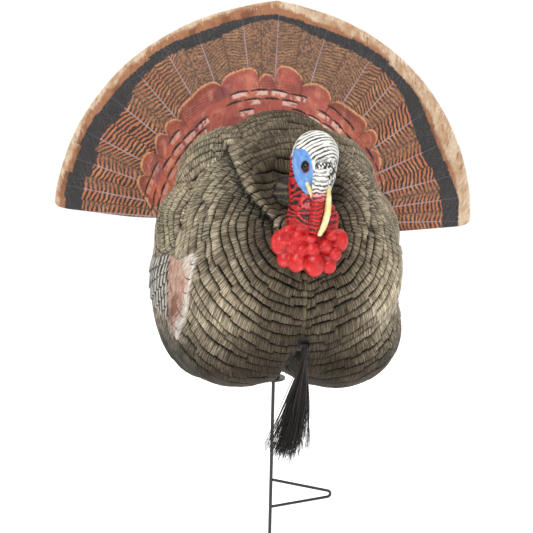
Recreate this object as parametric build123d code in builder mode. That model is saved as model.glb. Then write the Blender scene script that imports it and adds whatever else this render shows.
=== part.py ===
"""Strutting turkey decoy on a ground stake.

Frame: +Z up, the bird faces -Y and its right side is -X. The origin is on the
stake's axis at ground level. All sizes are in millimetres.
"""
import os
from math import cos, degrees, pi, radians, sin

from build123d import *

os.makedirs("parts", exist_ok=True)

# ---- driving dimensions -------------------------------------------------

# ground stake
STAKE_R = 2.5
STAKE_TIP_Z = -180
STAKE_POINT = 24
STAKE_TOP_Z = 430
GROOVE_R = 2.2
GROOVE_HEIGHT = 1
STEP_WIRE_R = 2.1
STEP_LOW_Z = 3.5
STEP_HIGH_Z = 46
STEP_CORNER_X = 112
STEP_CORNER_R = 5

# hollow body: (y, lowest z, highest z, half width) from breast to rump
SHELL_STATIONS = [
    (-244, 336, 376, 30),
    (-231, 304, 410, 80),
    (-208, 275, 449, 114),
    (-170, 248, 492, 144),
    (-120, 226, 537, 165),
    (-60, 212, 573, 176),
    (0, 210, 590, 179),
    (40, 217, 590, 172),
    (72, 236, 566, 146),
    (92, 268, 522, 104),
    (102, 312, 470, 60),
]
SHELL_WALL = 4
SHELL_END_WALL = 10
SECTION_POWER = 2.4
SECTION_POINTS = 16
RUMP_Y = SHELL_STATIONS[-1][0]

# stake bearing inside the body
SLEEVE_R = 9
SLEEVE_BORE_R = 6.25
SLEEVE_TOP_Z = 444
SLEEVE_ROOF = 4
BELLY_FACE_Z = 206
BELLY_BOSS_R = 17
FLANGE = 3
CAP_R = 6.2
CAP_HEIGHT = 15
BUSH_LENGTH = 12
RUNNING = 0.05
GAP = 0.3

# neck socket: its axis leans forward
NECK_LEAN = 35
NECK_SEAT = (0, -170, 490)
COLLAR_R = 26
COLLAR_FLANGE_R = 34
COLLAR_BORE_R = 22.3
COLLAR_DEPTH = 30
PLUG_R = 22
PLUG_FLANGE_R = 30
SPIGOT_R = 10
SPIGOT_LENGTH = 20
NECK_SCREW_R = 3
COLLAR_SCREWS = 4
COLLAR_SCREW_RING_R = 30
SMALL_SCREW_R = 1.5
SMALL_SCREW_HEAD_R = 2.8
SMALL_SCREW_HEAD = 1.6

# head, sculpted turned a little to the bird's left
HEAD_CENTRE = (4, -204, 547)
HEAD_R = 33
HEAD_TURN = 27
HEAD_MIDDLE = 66
HEAD_CROWN = 98
NAPE = 36
NAPE_R = 24
THROAT_TOP = (4, -210, 505)
THROAT_END = (4, -258, 424)
THROAT_R = 21
WATTLE_START = (-42, -253, 431)
WATTLE_END = (50, -253, 431)
WATTLE_R = 24
ROLL_ROUNDING = 0.85
EYE_R = 5.5
EYE_SPREAD = 50
EYE_RISE = -9
BEAK_ROOT_R = 13
BEAK_TIP = (12, -260, 460)
BEAK_TIP_R = 2.5

# beard, hanging from a pin on the breast
BEARD_PIN = (0, -247, 321)
BEARD_PIN_R = 1.5
BEARD_FACE_Y = -238
BEARD_BOSS_R = 8
EAR_GAP = 4.4
EAR_THICK = 2
EYELET_R = 3.2
FERRULE_R = 3.8
FERRULE_LENGTH = 16
BEARD_TIP_Z = 160
BEARD_TIP_HALF_WIDTH = 25
BEARD_LEAN = -13
BEARD_HALF_DEPTH = 4

# fan of flat ribs folding about one bolt
FAN_ROOT_Z = 413
FAN_TILT = 1.3
RIB_STEP = 21
RIBS_PER_SIDE = 4
RIB_LENGTH = 318
RIB_WIDTH = 6
RIB_THICK = 1.0
RIB_PITCH = 1.2
RIB_EYE_R = 7
FAN_CREST = 14
CLOTH_THICK = 0.8
CLOTH_ROOT_R = 32
CLOTH_OVERHANG = 4
SEAM_GAP = 0.1
CLOTH_SIDE_EDGE = 10
BOLT_R = 2
BOLT_HEAD_R = 5
BOLT_HEAD = 1.5

# fan mast and its socket on the rump
SOCKET_HALF_WIDTH = 30
SOCKET_DEPTH = 12
SOCKET_LOW_Z = 332
SOCKET_HIGH_Z = 386
SOCKET_FLOOR = 6
MAST_HALF_WIDTH = 12
MAST_THICK = 3
MAST_FRONT_Y = RUMP_Y + 3.2
SLOT_CLEARANCE = 0.2
HUB_R = 17
HUB_CAP_R = 14
HUB_CAP_THICK = 2
NUT_AF = 8
NUT_HEIGHT = 3.2
SOCKET_SCREW_X = 21
SOCKET_SCREW_R = 2
SOCKET_SCREW_HEAD_R = 4
SOCKET_SCREW_HEAD = 3
SOCKET_SCREW_BITE = 8

# ---- planes shared by several pieces ------------------------------------

lean = radians(NECK_LEAN)
NECK = Plane(origin=NECK_SEAT, x_dir=(1, 0, 0), z_dir=(0, -sin(lean), cos(lean)))
SEAT_TOP = 2
PLUG_SEAT = SEAT_TOP + FLANGE
HEAD_SEAT = PLUG_SEAT + GAP + FLANGE


def finish(part, label):
    """Name a finished piece and write its file."""
    part.label = label
    export_step(part, f"parts/{label}.step")


def facing(y):
    """Plane across the bird at depth y, its normal towards the breast."""
    return Plane.XZ.offset(-y)


def upright(y):
    """Plane across the bird at depth y, its normal towards the rump."""
    return Plane(origin=(0, y, 0), x_dir=(-1, 0, 0), z_dir=(0, 1, 0))


def shell_ring(z_low, z_high, half_width):
    """Closed squared oval, as points for a periodic spline."""
    middle = (z_low + z_high) / 2
    half_height = (z_high - z_low) / 2
    ring = []
    for step in range(SECTION_POINTS):
        turn = 2 * pi * (step + 0.5) / SECTION_POINTS
        across = abs(cos(turn)) ** (2 / SECTION_POWER) * (1 if cos(turn) > 0 else -1)
        rise = abs(sin(turn)) ** (2 / SECTION_POWER) * (1 if sin(turn) > 0 else -1)
        ring.append((half_width * across, middle + half_height * rise))
    return ring


# ---- stake --------------------------------------------------------------

with BuildPart() as stake_rod:
    with BuildSketch(Plane.XZ):
        with BuildLine():
            Polyline(
                (0, STAKE_TIP_Z),
                (STAKE_R, STAKE_TIP_Z + STAKE_POINT),
                (STAKE_R, 0),
                (GROOVE_R, 0),
                (GROOVE_R, GROOVE_HEIGHT),
                (STAKE_R, GROOVE_HEIGHT),
                (STAKE_R, STAKE_TOP_Z),
                (0, STAKE_TOP_Z),
                close=True,
            )
        make_face()
    revolve(axis=Axis.Z)
finish(stake_rod.part, "stake_rod")

with BuildPart() as foot_step:
    with BuildLine(Plane.XZ) as step_path:
        FilletPolyline(
            (STAKE_R, STEP_LOW_Z),
            (STEP_CORNER_X, (STEP_LOW_Z + STEP_HIGH_Z) / 2 - STEP_CORNER_R),
            (STAKE_R, STEP_HIGH_Z),
            radius=STEP_CORNER_R,
        )
    with BuildSketch(Plane(origin=step_path.line @ 0, z_dir=step_path.line % 0)):
        Circle(STEP_WIRE_R)
    sweep(path=step_path.line)
    with BuildSketch(Plane.XY.offset(STEP_LOW_Z - 2 * STEP_WIRE_R)):
        Circle(STAKE_R)
    extrude(amount=STEP_HIGH_Z + 4 * STEP_WIRE_R, mode=Mode.SUBTRACT)
finish(foot_step.part, "foot_step")

with BuildPart() as stake_cap:
    with BuildSketch(Plane.XY.offset(STAKE_TOP_Z - CAP_HEIGHT / 2)):
        Circle(CAP_R)
    extrude(amount=SLEEVE_TOP_Z - SLEEVE_ROOF - GAP - STAKE_TOP_Z + CAP_HEIGHT / 2)
    chamfer(stake_cap.edges().group_by(Axis.Z)[-1], 1.5)
    with BuildSketch(Plane.XY.offset(STAKE_TOP_Z - CAP_HEIGHT)):
        Circle(STAKE_R)
    extrude(amount=CAP_HEIGHT, mode=Mode.SUBTRACT)
finish(stake_cap.part, "stake_cap")

# ---- body ---------------------------------------------------------------

with BuildPart() as body_shell:
    for y, z_low, z_high, half_width in SHELL_STATIONS:
        with BuildSketch(facing(y)):
            with BuildLine():
                Spline(*shell_ring(z_low, z_high, half_width), periodic=True)
            make_face()
    loft()
    # flat bosses for the stake bearing, the neck collar and the beard bracket
    with BuildSketch(Plane.XY.offset(BELLY_FACE_Z)):
        Circle(BELLY_BOSS_R)
    extrude(amount=2 * BELLY_BOSS_R)
    with BuildSketch(NECK.offset(SEAT_TOP)):
        Circle(COLLAR_FLANGE_R)
    extrude(amount=-COLLAR_DEPTH)
    with BuildSketch(facing(BEARD_FACE_Y)):
        with Locations((BEARD_PIN[0], BEARD_PIN[2])):
            Circle(BEARD_BOSS_R)
    extrude(amount=-3 * BEARD_BOSS_R)
    # room in front of the two outer bosses
    with BuildSketch(NECK.offset(SEAT_TOP)):
        Circle(COLLAR_FLANGE_R + 2 * GAP)
    extrude(amount=COLLAR_DEPTH, mode=Mode.SUBTRACT)
    with BuildSketch(facing(BEARD_FACE_Y)):
        with Locations((BEARD_PIN[0], BEARD_PIN[2])):
            Circle(BEARD_BOSS_R + 2 * GAP)
    extrude(amount=BEARD_BOSS_R, mode=Mode.SUBTRACT)
    # the hollow
    inner = SHELL_STATIONS[1:-1]
    for y, z_low, z_high, half_width in inner:
        inset = SHELL_WALL
        if (y, z_low, z_high, half_width) == inner[0]:
            inset = 3 * SHELL_WALL
        with BuildSketch(facing(y)):
            with BuildLine():
                Spline(*shell_ring(z_low + inset, z_high - inset, half_width - inset), periodic=True)
            make_face()
    loft(mode=Mode.SUBTRACT)
    # bores for the stake bearing, the neck collar and the rump screws
    with BuildSketch(Plane.XY.offset(BELLY_FACE_Z)):
        Circle(SLEEVE_R)
    extrude(amount=3 * BELLY_BOSS_R, mode=Mode.SUBTRACT)
    with BuildSketch(NECK.offset(SEAT_TOP)):
        Circle(COLLAR_R)
        with PolarLocations(COLLAR_SCREW_RING_R, COLLAR_SCREWS, start_angle=45):
            Circle(SMALL_SCREW_R + RUNNING)
    extrude(amount=-2 * COLLAR_DEPTH, mode=Mode.SUBTRACT)
    with BuildSketch(facing(RUMP_Y)):
        with Locations((0, (SOCKET_LOW_Z + SOCKET_HIGH_Z) / 2)):
            with GridLocations(2 * SOCKET_SCREW_X, 1, 2, 1):
                Circle(SOCKET_SCREW_R + RUNNING)
    extrude(amount=SOCKET_SCREW_BITE + GAP, mode=Mode.SUBTRACT)
finish(body_shell.part, "body_shell")

with BuildPart() as stake_sleeve:
    with BuildSketch(Plane.XY.offset(BELLY_FACE_Z - FLANGE)):
        Circle(BELLY_BOSS_R)
    extrude(amount=FLANGE)
    with BuildSketch(Plane.XY.offset(BELLY_FACE_Z)):
        Circle(SLEEVE_R)
    extrude(amount=SLEEVE_TOP_Z - BELLY_FACE_Z)
    with BuildSketch(Plane.XY.offset(BELLY_FACE_Z - FLANGE)):
        Circle(SLEEVE_BORE_R)
    extrude(amount=SLEEVE_TOP_Z - SLEEVE_ROOF - BELLY_FACE_Z + FLANGE, mode=Mode.SUBTRACT)
finish(stake_sleeve.part, "stake_sleeve")

with BuildPart() as belly_bush:
    with BuildSketch(Plane.XY.offset(BELLY_FACE_Z - 2 * FLANGE)):
        Circle(SLEEVE_R)
    extrude(amount=FLANGE)
    with BuildSketch(Plane.XY.offset(BELLY_FACE_Z - FLANGE)):
        Circle(SLEEVE_BORE_R)
    extrude(amount=BUSH_LENGTH)
    with BuildSketch(Plane.XY.offset(BELLY_FACE_Z - 2 * FLANGE)):
        Circle(STAKE_R + RUNNING)
    extrude(amount=2 * BUSH_LENGTH, mode=Mode.SUBTRACT)
finish(belly_bush.part, "belly_bush")

with BuildPart() as neck_collar:
    with BuildSketch(NECK.offset(SEAT_TOP)):
        Circle(COLLAR_FLANGE_R)
        with PolarLocations(COLLAR_SCREW_RING_R, COLLAR_SCREWS, start_angle=45):
            Circle(SMALL_SCREW_R + RUNNING, mode=Mode.SUBTRACT)
    extrude(amount=FLANGE)
    with BuildSketch(NECK.offset(SEAT_TOP)):
        Circle(COLLAR_R)
    extrude(amount=-COLLAR_DEPTH)
    with BuildSketch(NECK.offset(PLUG_SEAT)):
        Circle(COLLAR_BORE_R)
    extrude(amount=-2 * COLLAR_DEPTH, mode=Mode.SUBTRACT)
    # countersinks that keep the screw heads below the seat
    with BuildSketch(NECK.offset(PLUG_SEAT)):
        with PolarLocations(COLLAR_SCREW_RING_R, COLLAR_SCREWS, start_angle=45):
            Circle(SMALL_SCREW_HEAD_R + RUNNING)
    extrude(amount=-SMALL_SCREW_HEAD, mode=Mode.SUBTRACT)
finish(neck_collar.part, "neck_collar")

with BuildPart() as collar_screws:
    with BuildSketch(NECK.offset(PLUG_SEAT)):
        with PolarLocations(COLLAR_SCREW_RING_R, COLLAR_SCREWS, start_angle=45):
            Circle(SMALL_SCREW_HEAD_R)
    extrude(amount=-SMALL_SCREW_HEAD)
    with BuildSketch(NECK.offset(PLUG_SEAT - SMALL_SCREW_HEAD)):
        with PolarLocations(COLLAR_SCREW_RING_R, COLLAR_SCREWS, start_angle=45):
            Circle(SMALL_SCREW_R)
    extrude(amount=-4 * SMALL_SCREW_HEAD)
finish(collar_screws.part, "collar_screws")

# ---- neck plug and head -------------------------------------------------

with BuildPart() as neck_plug:
    with BuildSketch(NECK.offset(-COLLAR_DEPTH)):
        Circle(PLUG_R)
    extrude(amount=COLLAR_DEPTH + PLUG_SEAT + GAP)
    with BuildSketch(NECK.offset(PLUG_SEAT + GAP)):
        Circle(PLUG_FLANGE_R)
    extrude(amount=FLANGE)
    with BuildSketch(NECK.offset(HEAD_SEAT)):
        Circle(SPIGOT_R)
    extrude(amount=SPIGOT_LENGTH)
    with BuildSketch(NECK.offset(-COLLAR_DEPTH)):
        Circle(NECK_SCREW_R + RUNNING)
    extrude(amount=3 * COLLAR_DEPTH, mode=Mode.SUBTRACT)
    with BuildSketch(NECK.offset(-COLLAR_DEPTH)):
        Circle(2.5 * NECK_SCREW_R)
    extrude(amount=COLLAR_DEPTH / 2, mode=Mode.SUBTRACT)
finish(neck_plug.part, "neck_plug")

with BuildPart() as head_screw:
    with BuildSketch(NECK.offset(-COLLAR_DEPTH / 2 - GAP)):
        Circle(2 * NECK_SCREW_R)
    extrude(amount=-NECK_SCREW_R)
    with BuildSketch(NECK.offset(-COLLAR_DEPTH / 2 - GAP)):
        Circle(NECK_SCREW_R)
    extrude(amount=COLLAR_DEPTH / 2 + GAP + HEAD_SEAT + 2 * SPIGOT_LENGTH)
finish(head_screw.part, "head_screw")


def eye_centre(side):
    """Eye on one side of the turned head: -1 is the bird's right."""
    turn = radians(HEAD_TURN + side * EYE_SPREAD)
    reach = HEAD_R - EYE_R / 4
    x, y, z = HEAD_CENTRE
    return (x + reach * sin(turn), y - reach * cos(turn), z + EYE_RISE)


EYES = {"eye_right": eye_centre(-1), "eye_left": eye_centre(1)}



def roll(start, end, radius):
    """Fat rod with rounded ends from start to end."""
    along = Vector(*end) - Vector(*start)
    with BuildPart() as rod:
        with BuildSketch(Plane(origin=start, z_dir=along)):
            Circle(radius)
        extrude(amount=along.length)
        fillet(rod.edges().filter_by(GeomType.CIRCLE), ROLL_ROUNDING * radius)
    return rod.part


throat = roll(THROAT_TOP, THROAT_END, THROAT_R)
wattles = roll(WATTLE_START, WATTLE_END, WATTLE_R)

with BuildPart() as head_shell:
    # neck and head, turned about the neck's axis
    with BuildSketch(Plane(origin=NECK_SEAT, x_dir=(1, 0, 0), z_dir=(0, -cos(lean), -sin(lean)))):
        with BuildLine():
            Polyline((0, HEAD_CROWN), (0, HEAD_SEAT), (PLUG_FLANGE_R, HEAD_SEAT))
            Spline(
                (PLUG_FLANGE_R, HEAD_SEAT),
                (NAPE_R, NAPE),
                (HEAD_R, HEAD_MIDDLE),
                (0, HEAD_CROWN),
                tangents=((-1, 1), (-1, 0)),
            )
        make_face()
    revolve(axis=Axis(NECK_SEAT, (0, -sin(lean), cos(lean))))
    add(throat)
    add(wattles)
    # beak, from inside the face down to its hooked end
    beak_line = Vector(*BEAK_TIP) - Vector(*HEAD_CENTRE)
    with BuildSketch(Plane(origin=HEAD_CENTRE, z_dir=beak_line)):
        Circle(BEAK_ROOT_R)
    with BuildSketch(Plane(origin=BEAK_TIP, z_dir=beak_line)):
        Circle(BEAK_TIP_R)
    loft()
    # the turning bore, the hole for the head screw and the eye sockets
    with BuildSketch(NECK.offset(HEAD_SEAT)):
        Circle(SPIGOT_R + RUNNING)
    extrude(amount=SPIGOT_LENGTH + GAP, mode=Mode.SUBTRACT)
    with BuildSketch(NECK.offset(HEAD_SEAT)):
        Circle(NECK_SCREW_R)
    extrude(amount=2 * SPIGOT_LENGTH, mode=Mode.SUBTRACT)
    with Locations(*EYES.values()):
        Sphere(EYE_R, mode=Mode.SUBTRACT)
finish(head_shell.part, "head_shell")

for eye_name, centre in EYES.items():
    with BuildPart() as eye:
        with Locations(centre):
            Sphere(EYE_R)
    finish(eye.part, eye_name)

# ---- beard --------------------------------------------------------------

PIN_X, PIN_Y, PIN_Z = BEARD_PIN
EAR_SPAN = EAR_GAP + EAR_THICK
FERRULE_TOP_Z = PIN_Z - EYELET_R - 1


def across(x):
    """Plane across the pin, its normal to the bird's left."""
    return Plane.YZ.offset(x)


with BuildPart() as beard_bracket:
    with BuildSketch(facing(BEARD_FACE_Y)):
        with Locations((PIN_X, PIN_Z)):
            Circle(BEARD_BOSS_R)
    extrude(amount=EAR_THICK)
    for start in (EAR_GAP, -EAR_SPAN):
        with BuildSketch(across(start)):
            with Locations((PIN_Y, PIN_Z)):
                SlotCenterToCenter(BEARD_FACE_Y - PIN_Y, 2 * EYELET_R)
                Circle(BEARD_PIN_R, mode=Mode.SUBTRACT)
        extrude(amount=EAR_THICK)
    with BuildSketch(facing(BEARD_FACE_Y)):
        with Locations((PIN_X, PIN_Z)):
            Circle(BEARD_BOSS_R)
    extrude(amount=-BEARD_BOSS_R, mode=Mode.SUBTRACT)
finish(beard_bracket.part, "beard_bracket")

with BuildPart() as beard_pin:
    with BuildSketch(across(-EAR_SPAN)):
        with Locations((PIN_Y, PIN_Z)):
            Circle(BEARD_PIN_R)
    extrude(amount=2 * EAR_SPAN)
finish(beard_pin.part, "beard_pin")

with BuildPart() as beard_ferrule:
    with BuildSketch(across(-EAR_GAP + GAP)):
        with Locations((PIN_Y, PIN_Z)):
            Circle(EYELET_R)
    extrude(amount=2 * (EAR_GAP - GAP))
    with BuildSketch(Plane(origin=(PIN_X, PIN_Y, FERRULE_TOP_Z), z_dir=(0, 0, -1))):
        Circle(FERRULE_R)
    extrude(amount=FERRULE_LENGTH)
    with BuildSketch(Plane(origin=BEARD_PIN, z_dir=(0, 0, -1))):
        Circle(EYELET_R - GAP)
    extrude(amount=2 * EYELET_R)
    with BuildSketch(across(-EAR_SPAN)):
        with Locations((PIN_Y, PIN_Z)):
            Circle(BEARD_PIN_R + RUNNING)
    extrude(amount=2 * EAR_SPAN, mode=Mode.SUBTRACT)
finish(beard_ferrule.part, "beard_ferrule")

BRISTLE_ROOT_Z = FERRULE_TOP_Z - FERRULE_LENGTH

with BuildPart() as beard_bristles:
    with BuildSketch(Plane.XY.offset(BRISTLE_ROOT_Z)):
        with Locations((PIN_X, PIN_Y)):
            Ellipse(FERRULE_R + 1, BEARD_HALF_DEPTH)
    with BuildSketch(Plane.XY.offset(BEARD_TIP_Z)):
        with Locations((PIN_X + BEARD_LEAN, PIN_Y)):
            Ellipse(BEARD_TIP_HALF_WIDTH, BEARD_HALF_DEPTH)
    loft()
finish(beard_bristles.part, "beard_bristles")

# ---- fan ----------------------------------------------------------------

with BuildPart() as fan_socket:
    with BuildSketch(upright(RUMP_Y)):
        with Locations((0, (SOCKET_LOW_Z + SOCKET_HIGH_Z) / 2)):
            Rectangle(2 * SOCKET_HALF_WIDTH, SOCKET_HIGH_Z - SOCKET_LOW_Z)
    extrude(amount=SOCKET_DEPTH)
    fillet(fan_socket.edges().filter_by(Axis.Y), 4)
    slot_middle = MAST_FRONT_Y + MAST_THICK / 2
    with BuildSketch(Plane.XY.offset(SOCKET_LOW_Z + SOCKET_FLOOR)):
        with Locations((0, slot_middle)):
            Rectangle(
                2 * (MAST_HALF_WIDTH + SLOT_CLEARANCE),
                MAST_THICK + 2 * SLOT_CLEARANCE,
            )
    extrude(amount=SOCKET_HIGH_Z, mode=Mode.SUBTRACT)
    with BuildSketch(upright(RUMP_Y)):
        with Locations((0, (SOCKET_LOW_Z + SOCKET_HIGH_Z) / 2)):
            with GridLocations(2 * SOCKET_SCREW_X, 1, 2, 1):
                Circle(SOCKET_SCREW_R + RUNNING)
    extrude(amount=SOCKET_DEPTH, mode=Mode.SUBTRACT)
    with BuildSketch(upright(RUMP_Y + SOCKET_DEPTH)):
        with Locations((0, (SOCKET_LOW_Z + SOCKET_HIGH_Z) / 2)):
            with GridLocations(2 * SOCKET_SCREW_X, 1, 2, 1):
                Circle(SOCKET_SCREW_HEAD_R + RUNNING)
    extrude(amount=-SOCKET_SCREW_HEAD, mode=Mode.SUBTRACT)
finish(fan_socket.part, "fan_socket")

with BuildPart() as socket_screws:
    with BuildSketch(upright(RUMP_Y + SOCKET_DEPTH)):
        with Locations((0, (SOCKET_LOW_Z + SOCKET_HIGH_Z) / 2)):
            with GridLocations(2 * SOCKET_SCREW_X, 1, 2, 1):
                Circle(SOCKET_SCREW_HEAD_R)
    extrude(amount=-SOCKET_SCREW_HEAD)
    with BuildSketch(upright(RUMP_Y + SOCKET_DEPTH - SOCKET_SCREW_HEAD)):
        with Locations((0, (SOCKET_LOW_Z + SOCKET_HIGH_Z) / 2)):
            with GridLocations(2 * SOCKET_SCREW_X, 1, 2, 1):
                Circle(SOCKET_SCREW_R)
    extrude(amount=-(SOCKET_DEPTH - SOCKET_SCREW_HEAD + SOCKET_SCREW_BITE))
finish(socket_screws.part, "socket_screws")

ROOT = (0, FAN_ROOT_Z)
RIB_FRONT_Y = MAST_FRONT_Y + MAST_THICK
LAST_RIB = 2 * RIBS_PER_SIDE
STACK_BACK_Y = RIB_FRONT_Y + LAST_RIB * RIB_PITCH + RIB_THICK + SLOT_CLEARANCE


def rib_bearing(number):
    """Angle of a rib from vertical, towards +X; negative numbers lie towards -X."""
    return FAN_TILT + number * RIB_STEP


def rib_layer(number):
    """Front face of a rib: the centre one first, then left and right in turn."""
    layer = 2 * abs(number) - (1 if number > 0 else 0)
    return RIB_FRONT_Y + layer * RIB_PITCH


def fan_point(bearing, reach):
    """Point on a plane facing the breast, at a bearing from vertical."""
    turn = radians(bearing)
    return (reach * sin(turn), FAN_ROOT_Z + reach * cos(turn))


def cloth_reach(number):
    """Cloth radius at a rib; the middle of the fan stands a little higher."""
    return RIB_LENGTH + CLOTH_OVERHANG + (FAN_CREST if number == 0 else 0)


with BuildPart() as fan_mast:
    with BuildSketch(facing(MAST_FRONT_Y)):
        with Locations(ROOT):
            Circle(HUB_R)
        mast_low = SOCKET_LOW_Z + SOCKET_FLOOR + GAP
        with Locations((0, (mast_low + FAN_ROOT_Z) / 2)):
            Rectangle(2 * MAST_HALF_WIDTH, FAN_ROOT_Z - mast_low)
        with Locations(ROOT):
            Circle(BOLT_R + RUNNING, mode=Mode.SUBTRACT)
    extrude(amount=-MAST_THICK)
finish(fan_mast.part, "fan_mast")

with BuildPart() as hub_bolt:
    with BuildSketch(facing(MAST_FRONT_Y)):
        with Locations(ROOT):
            Circle(BOLT_HEAD_R)
    extrude(amount=BOLT_HEAD)
    with BuildSketch(facing(MAST_FRONT_Y)):
        with Locations(ROOT):
            Circle(BOLT_R)
    extrude(amount=-(STACK_BACK_Y + HUB_CAP_THICK + NUT_HEIGHT + 1 - MAST_FRONT_Y))
finish(hub_bolt.part, "hub_bolt")

with BuildPart() as hub_cap:
    with BuildSketch(facing(STACK_BACK_Y)):
        with Locations(ROOT):
            Circle(HUB_CAP_R)
            Circle(BOLT_R + RUNNING, mode=Mode.SUBTRACT)
    extrude(amount=-HUB_CAP_THICK)
finish(hub_cap.part, "hub_cap")

with BuildPart() as hub_nut:
    with BuildSketch(facing(STACK_BACK_Y + HUB_CAP_THICK)):
        with Locations(ROOT):
            RegularPolygon(NUT_AF / 2, 6, major_radius=False)
            Circle(BOLT_R, mode=Mode.SUBTRACT)
    extrude(amount=-NUT_HEIGHT)
finish(hub_nut.part, "hub_nut")

SIDES = {"left": 1, "right": -1}
RIB_NAMES = {0: "fan_rib_centre"}
for side, sign in SIDES.items():
    for place in range(1, RIBS_PER_SIDE + 1):
        RIB_NAMES[sign * place] = f"fan_rib_{side}_{place}"

for number, rib_name in RIB_NAMES.items():
    length = RIB_LENGTH + (FAN_CREST if number == 0 else 0)
    middle = fan_point(rib_bearing(number), length / 2)
    with BuildPart() as fan_rib:
        with BuildSketch(facing(rib_layer(number))):
            with Locations(ROOT):
                Circle(RIB_EYE_R)
            with Locations(Location((*middle, 0), (0, 0, -rib_bearing(number)))):
                Rectangle(RIB_WIDTH, length)
            with Locations(ROOT):
                Circle(BOLT_R + RUNNING, mode=Mode.SUBTRACT)
        extrude(amount=-RIB_THICK)
    finish(fan_rib.part, rib_name)

CLOTH_BACK_Y = MAST_FRONT_Y - GAP


def cloth_corner(number, reach, past):
    """Corner of a cloth panel, past a rib by a distance measured along the arc."""
    return fan_point(rib_bearing(number) + degrees(past / reach), reach)


for side, sign in SIDES.items():
    for place in range(1, RIBS_PER_SIDE + 1):
        inner, outer = sign * (place - 1), sign * place
        seam = sign * SEAM_GAP
        edge = sign * CLOTH_SIDE_EDGE if place == RIBS_PER_SIDE else -seam
        with BuildPart() as fan_cloth:
            with BuildSketch(facing(CLOTH_BACK_Y)):
                with BuildLine():
                    Polyline(
                        cloth_corner(inner, CLOTH_ROOT_R, seam),
                        cloth_corner(inner, cloth_reach(inner), seam),
                        cloth_corner(outer, cloth_reach(outer), edge),
                        cloth_corner(outer, CLOTH_ROOT_R, edge),
                        close=True,
                    )
                make_face()
            extrude(amount=CLOTH_THICK)
        finish(fan_cloth.part, f"fan_cloth_{side}_{place}")
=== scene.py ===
"""Looks for the strutting turkey decoy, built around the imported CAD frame.

The modelling functions work in millimetres, which turn into metres when a mesh
is made. The bird faces -Y and its right side is -X. A tuple is a screen colour.
"""
from math import cos, pi, radians, sin

import bpy
import numpy as np
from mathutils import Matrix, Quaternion, Vector


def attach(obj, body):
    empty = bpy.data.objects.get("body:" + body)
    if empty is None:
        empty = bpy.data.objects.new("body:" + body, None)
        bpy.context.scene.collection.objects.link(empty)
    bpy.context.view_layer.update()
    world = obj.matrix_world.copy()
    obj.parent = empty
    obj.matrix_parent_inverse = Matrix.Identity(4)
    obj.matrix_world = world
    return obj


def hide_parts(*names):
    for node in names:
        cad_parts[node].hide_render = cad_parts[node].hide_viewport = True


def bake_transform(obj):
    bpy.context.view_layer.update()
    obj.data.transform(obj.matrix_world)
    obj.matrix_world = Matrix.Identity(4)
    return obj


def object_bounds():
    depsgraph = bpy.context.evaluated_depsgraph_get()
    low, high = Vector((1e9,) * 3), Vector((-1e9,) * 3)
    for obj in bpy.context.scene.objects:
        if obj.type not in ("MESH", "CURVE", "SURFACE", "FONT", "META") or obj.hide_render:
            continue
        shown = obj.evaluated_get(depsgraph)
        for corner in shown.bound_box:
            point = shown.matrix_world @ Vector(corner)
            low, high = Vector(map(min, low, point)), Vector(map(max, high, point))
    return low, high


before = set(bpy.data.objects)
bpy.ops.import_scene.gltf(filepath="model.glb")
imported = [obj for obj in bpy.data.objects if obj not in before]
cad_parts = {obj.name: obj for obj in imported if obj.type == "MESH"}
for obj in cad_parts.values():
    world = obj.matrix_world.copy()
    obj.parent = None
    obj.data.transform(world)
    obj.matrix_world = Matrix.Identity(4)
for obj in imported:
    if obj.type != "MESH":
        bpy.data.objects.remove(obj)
CAD_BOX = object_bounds()
MM = 0.001
# the bird's sides, by the sign of X
WORD = {1: "left", -1: "right"}
OCTAVES = 3

# ---- numbers and noise ----------------------------------------------------


def smooth(low, high, value):
    """0 below low, 1 above high and a soft step between; low may be the larger."""
    t = np.clip((value - low) / (high - low), 0, 1)
    return t * t * (3 - 2 * t)


def light(value):
    """A tuple is a screen colour, 0 to 255, and turns into scene light; the rest stays."""
    if not isinstance(value, tuple):
        return np.asarray(value, float)
    c = np.array(value, float) / 255
    return np.where(c <= 0.04045, c / 12.92, ((c + 0.055) / 1.055) ** 2.4)


def mix(a, b, t):
    """Blend two values or two rows of colours by t."""
    a, b, t = light(a), light(b), np.asarray(t, float)
    if t.ndim and 3 in (a.shape[-1:] + b.shape[-1:]):
        t = t[..., None]
    return a + (b - a) * t


def coats(paint, *brushed):
    """Brush colours over paint in turn, each by its own weight."""
    for colour, weight in brushed:
        paint = mix(paint, colour, weight)
    return paint


def scatter(*keys):
    """Repeatable numbers from 0 to 1 for whole-number keys, the first of them an array."""
    h = np.full(np.shape(keys[0]), 0x9E3779B97F4A7C15, np.uint64)
    for key in keys:
        h ^= np.asarray(key, np.int64).astype(np.uint64)
        h = (h ^ (h >> np.uint64(30))) * np.uint64(0xBF58476D1CE4E5B9)
        h = (h ^ (h >> np.uint64(27))) * np.uint64(0x94D049BB133111EB)
        h ^= h >> np.uint64(31)
    return (h >> np.uint64(11)).astype(float) / float(1 << 53)


def noise(points, scale, seed):
    """Soft random field from 0 to 1; scale is the size of its patches."""
    p = np.asarray(points, float) / scale
    cell = np.floor(p).astype(np.int64)
    f = p - cell
    f = f * f * (3 - 2 * f)
    total = np.zeros(len(p))
    for corner in np.ndindex(*(2,) * p.shape[1]):
        weight = np.prod([f[:, k] if c else 1 - f[:, k] for k, c in enumerate(corner)], axis=0)
        keys = [cell[:, k] + c for k, c in enumerate(corner)]
        total += weight * scatter(*keys, seed)
    return total


def layers(points, scale, seed):
    """Noise with finer and fainter copies of itself."""
    parts = [noise(points, scale / 2**k, seed + k) / 2**k for k in range(OCTAVES)]
    return sum(parts) / sum(1 / 2**k for k in range(OCTAVES))


# ---- meshes ---------------------------------------------------------------


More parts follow.
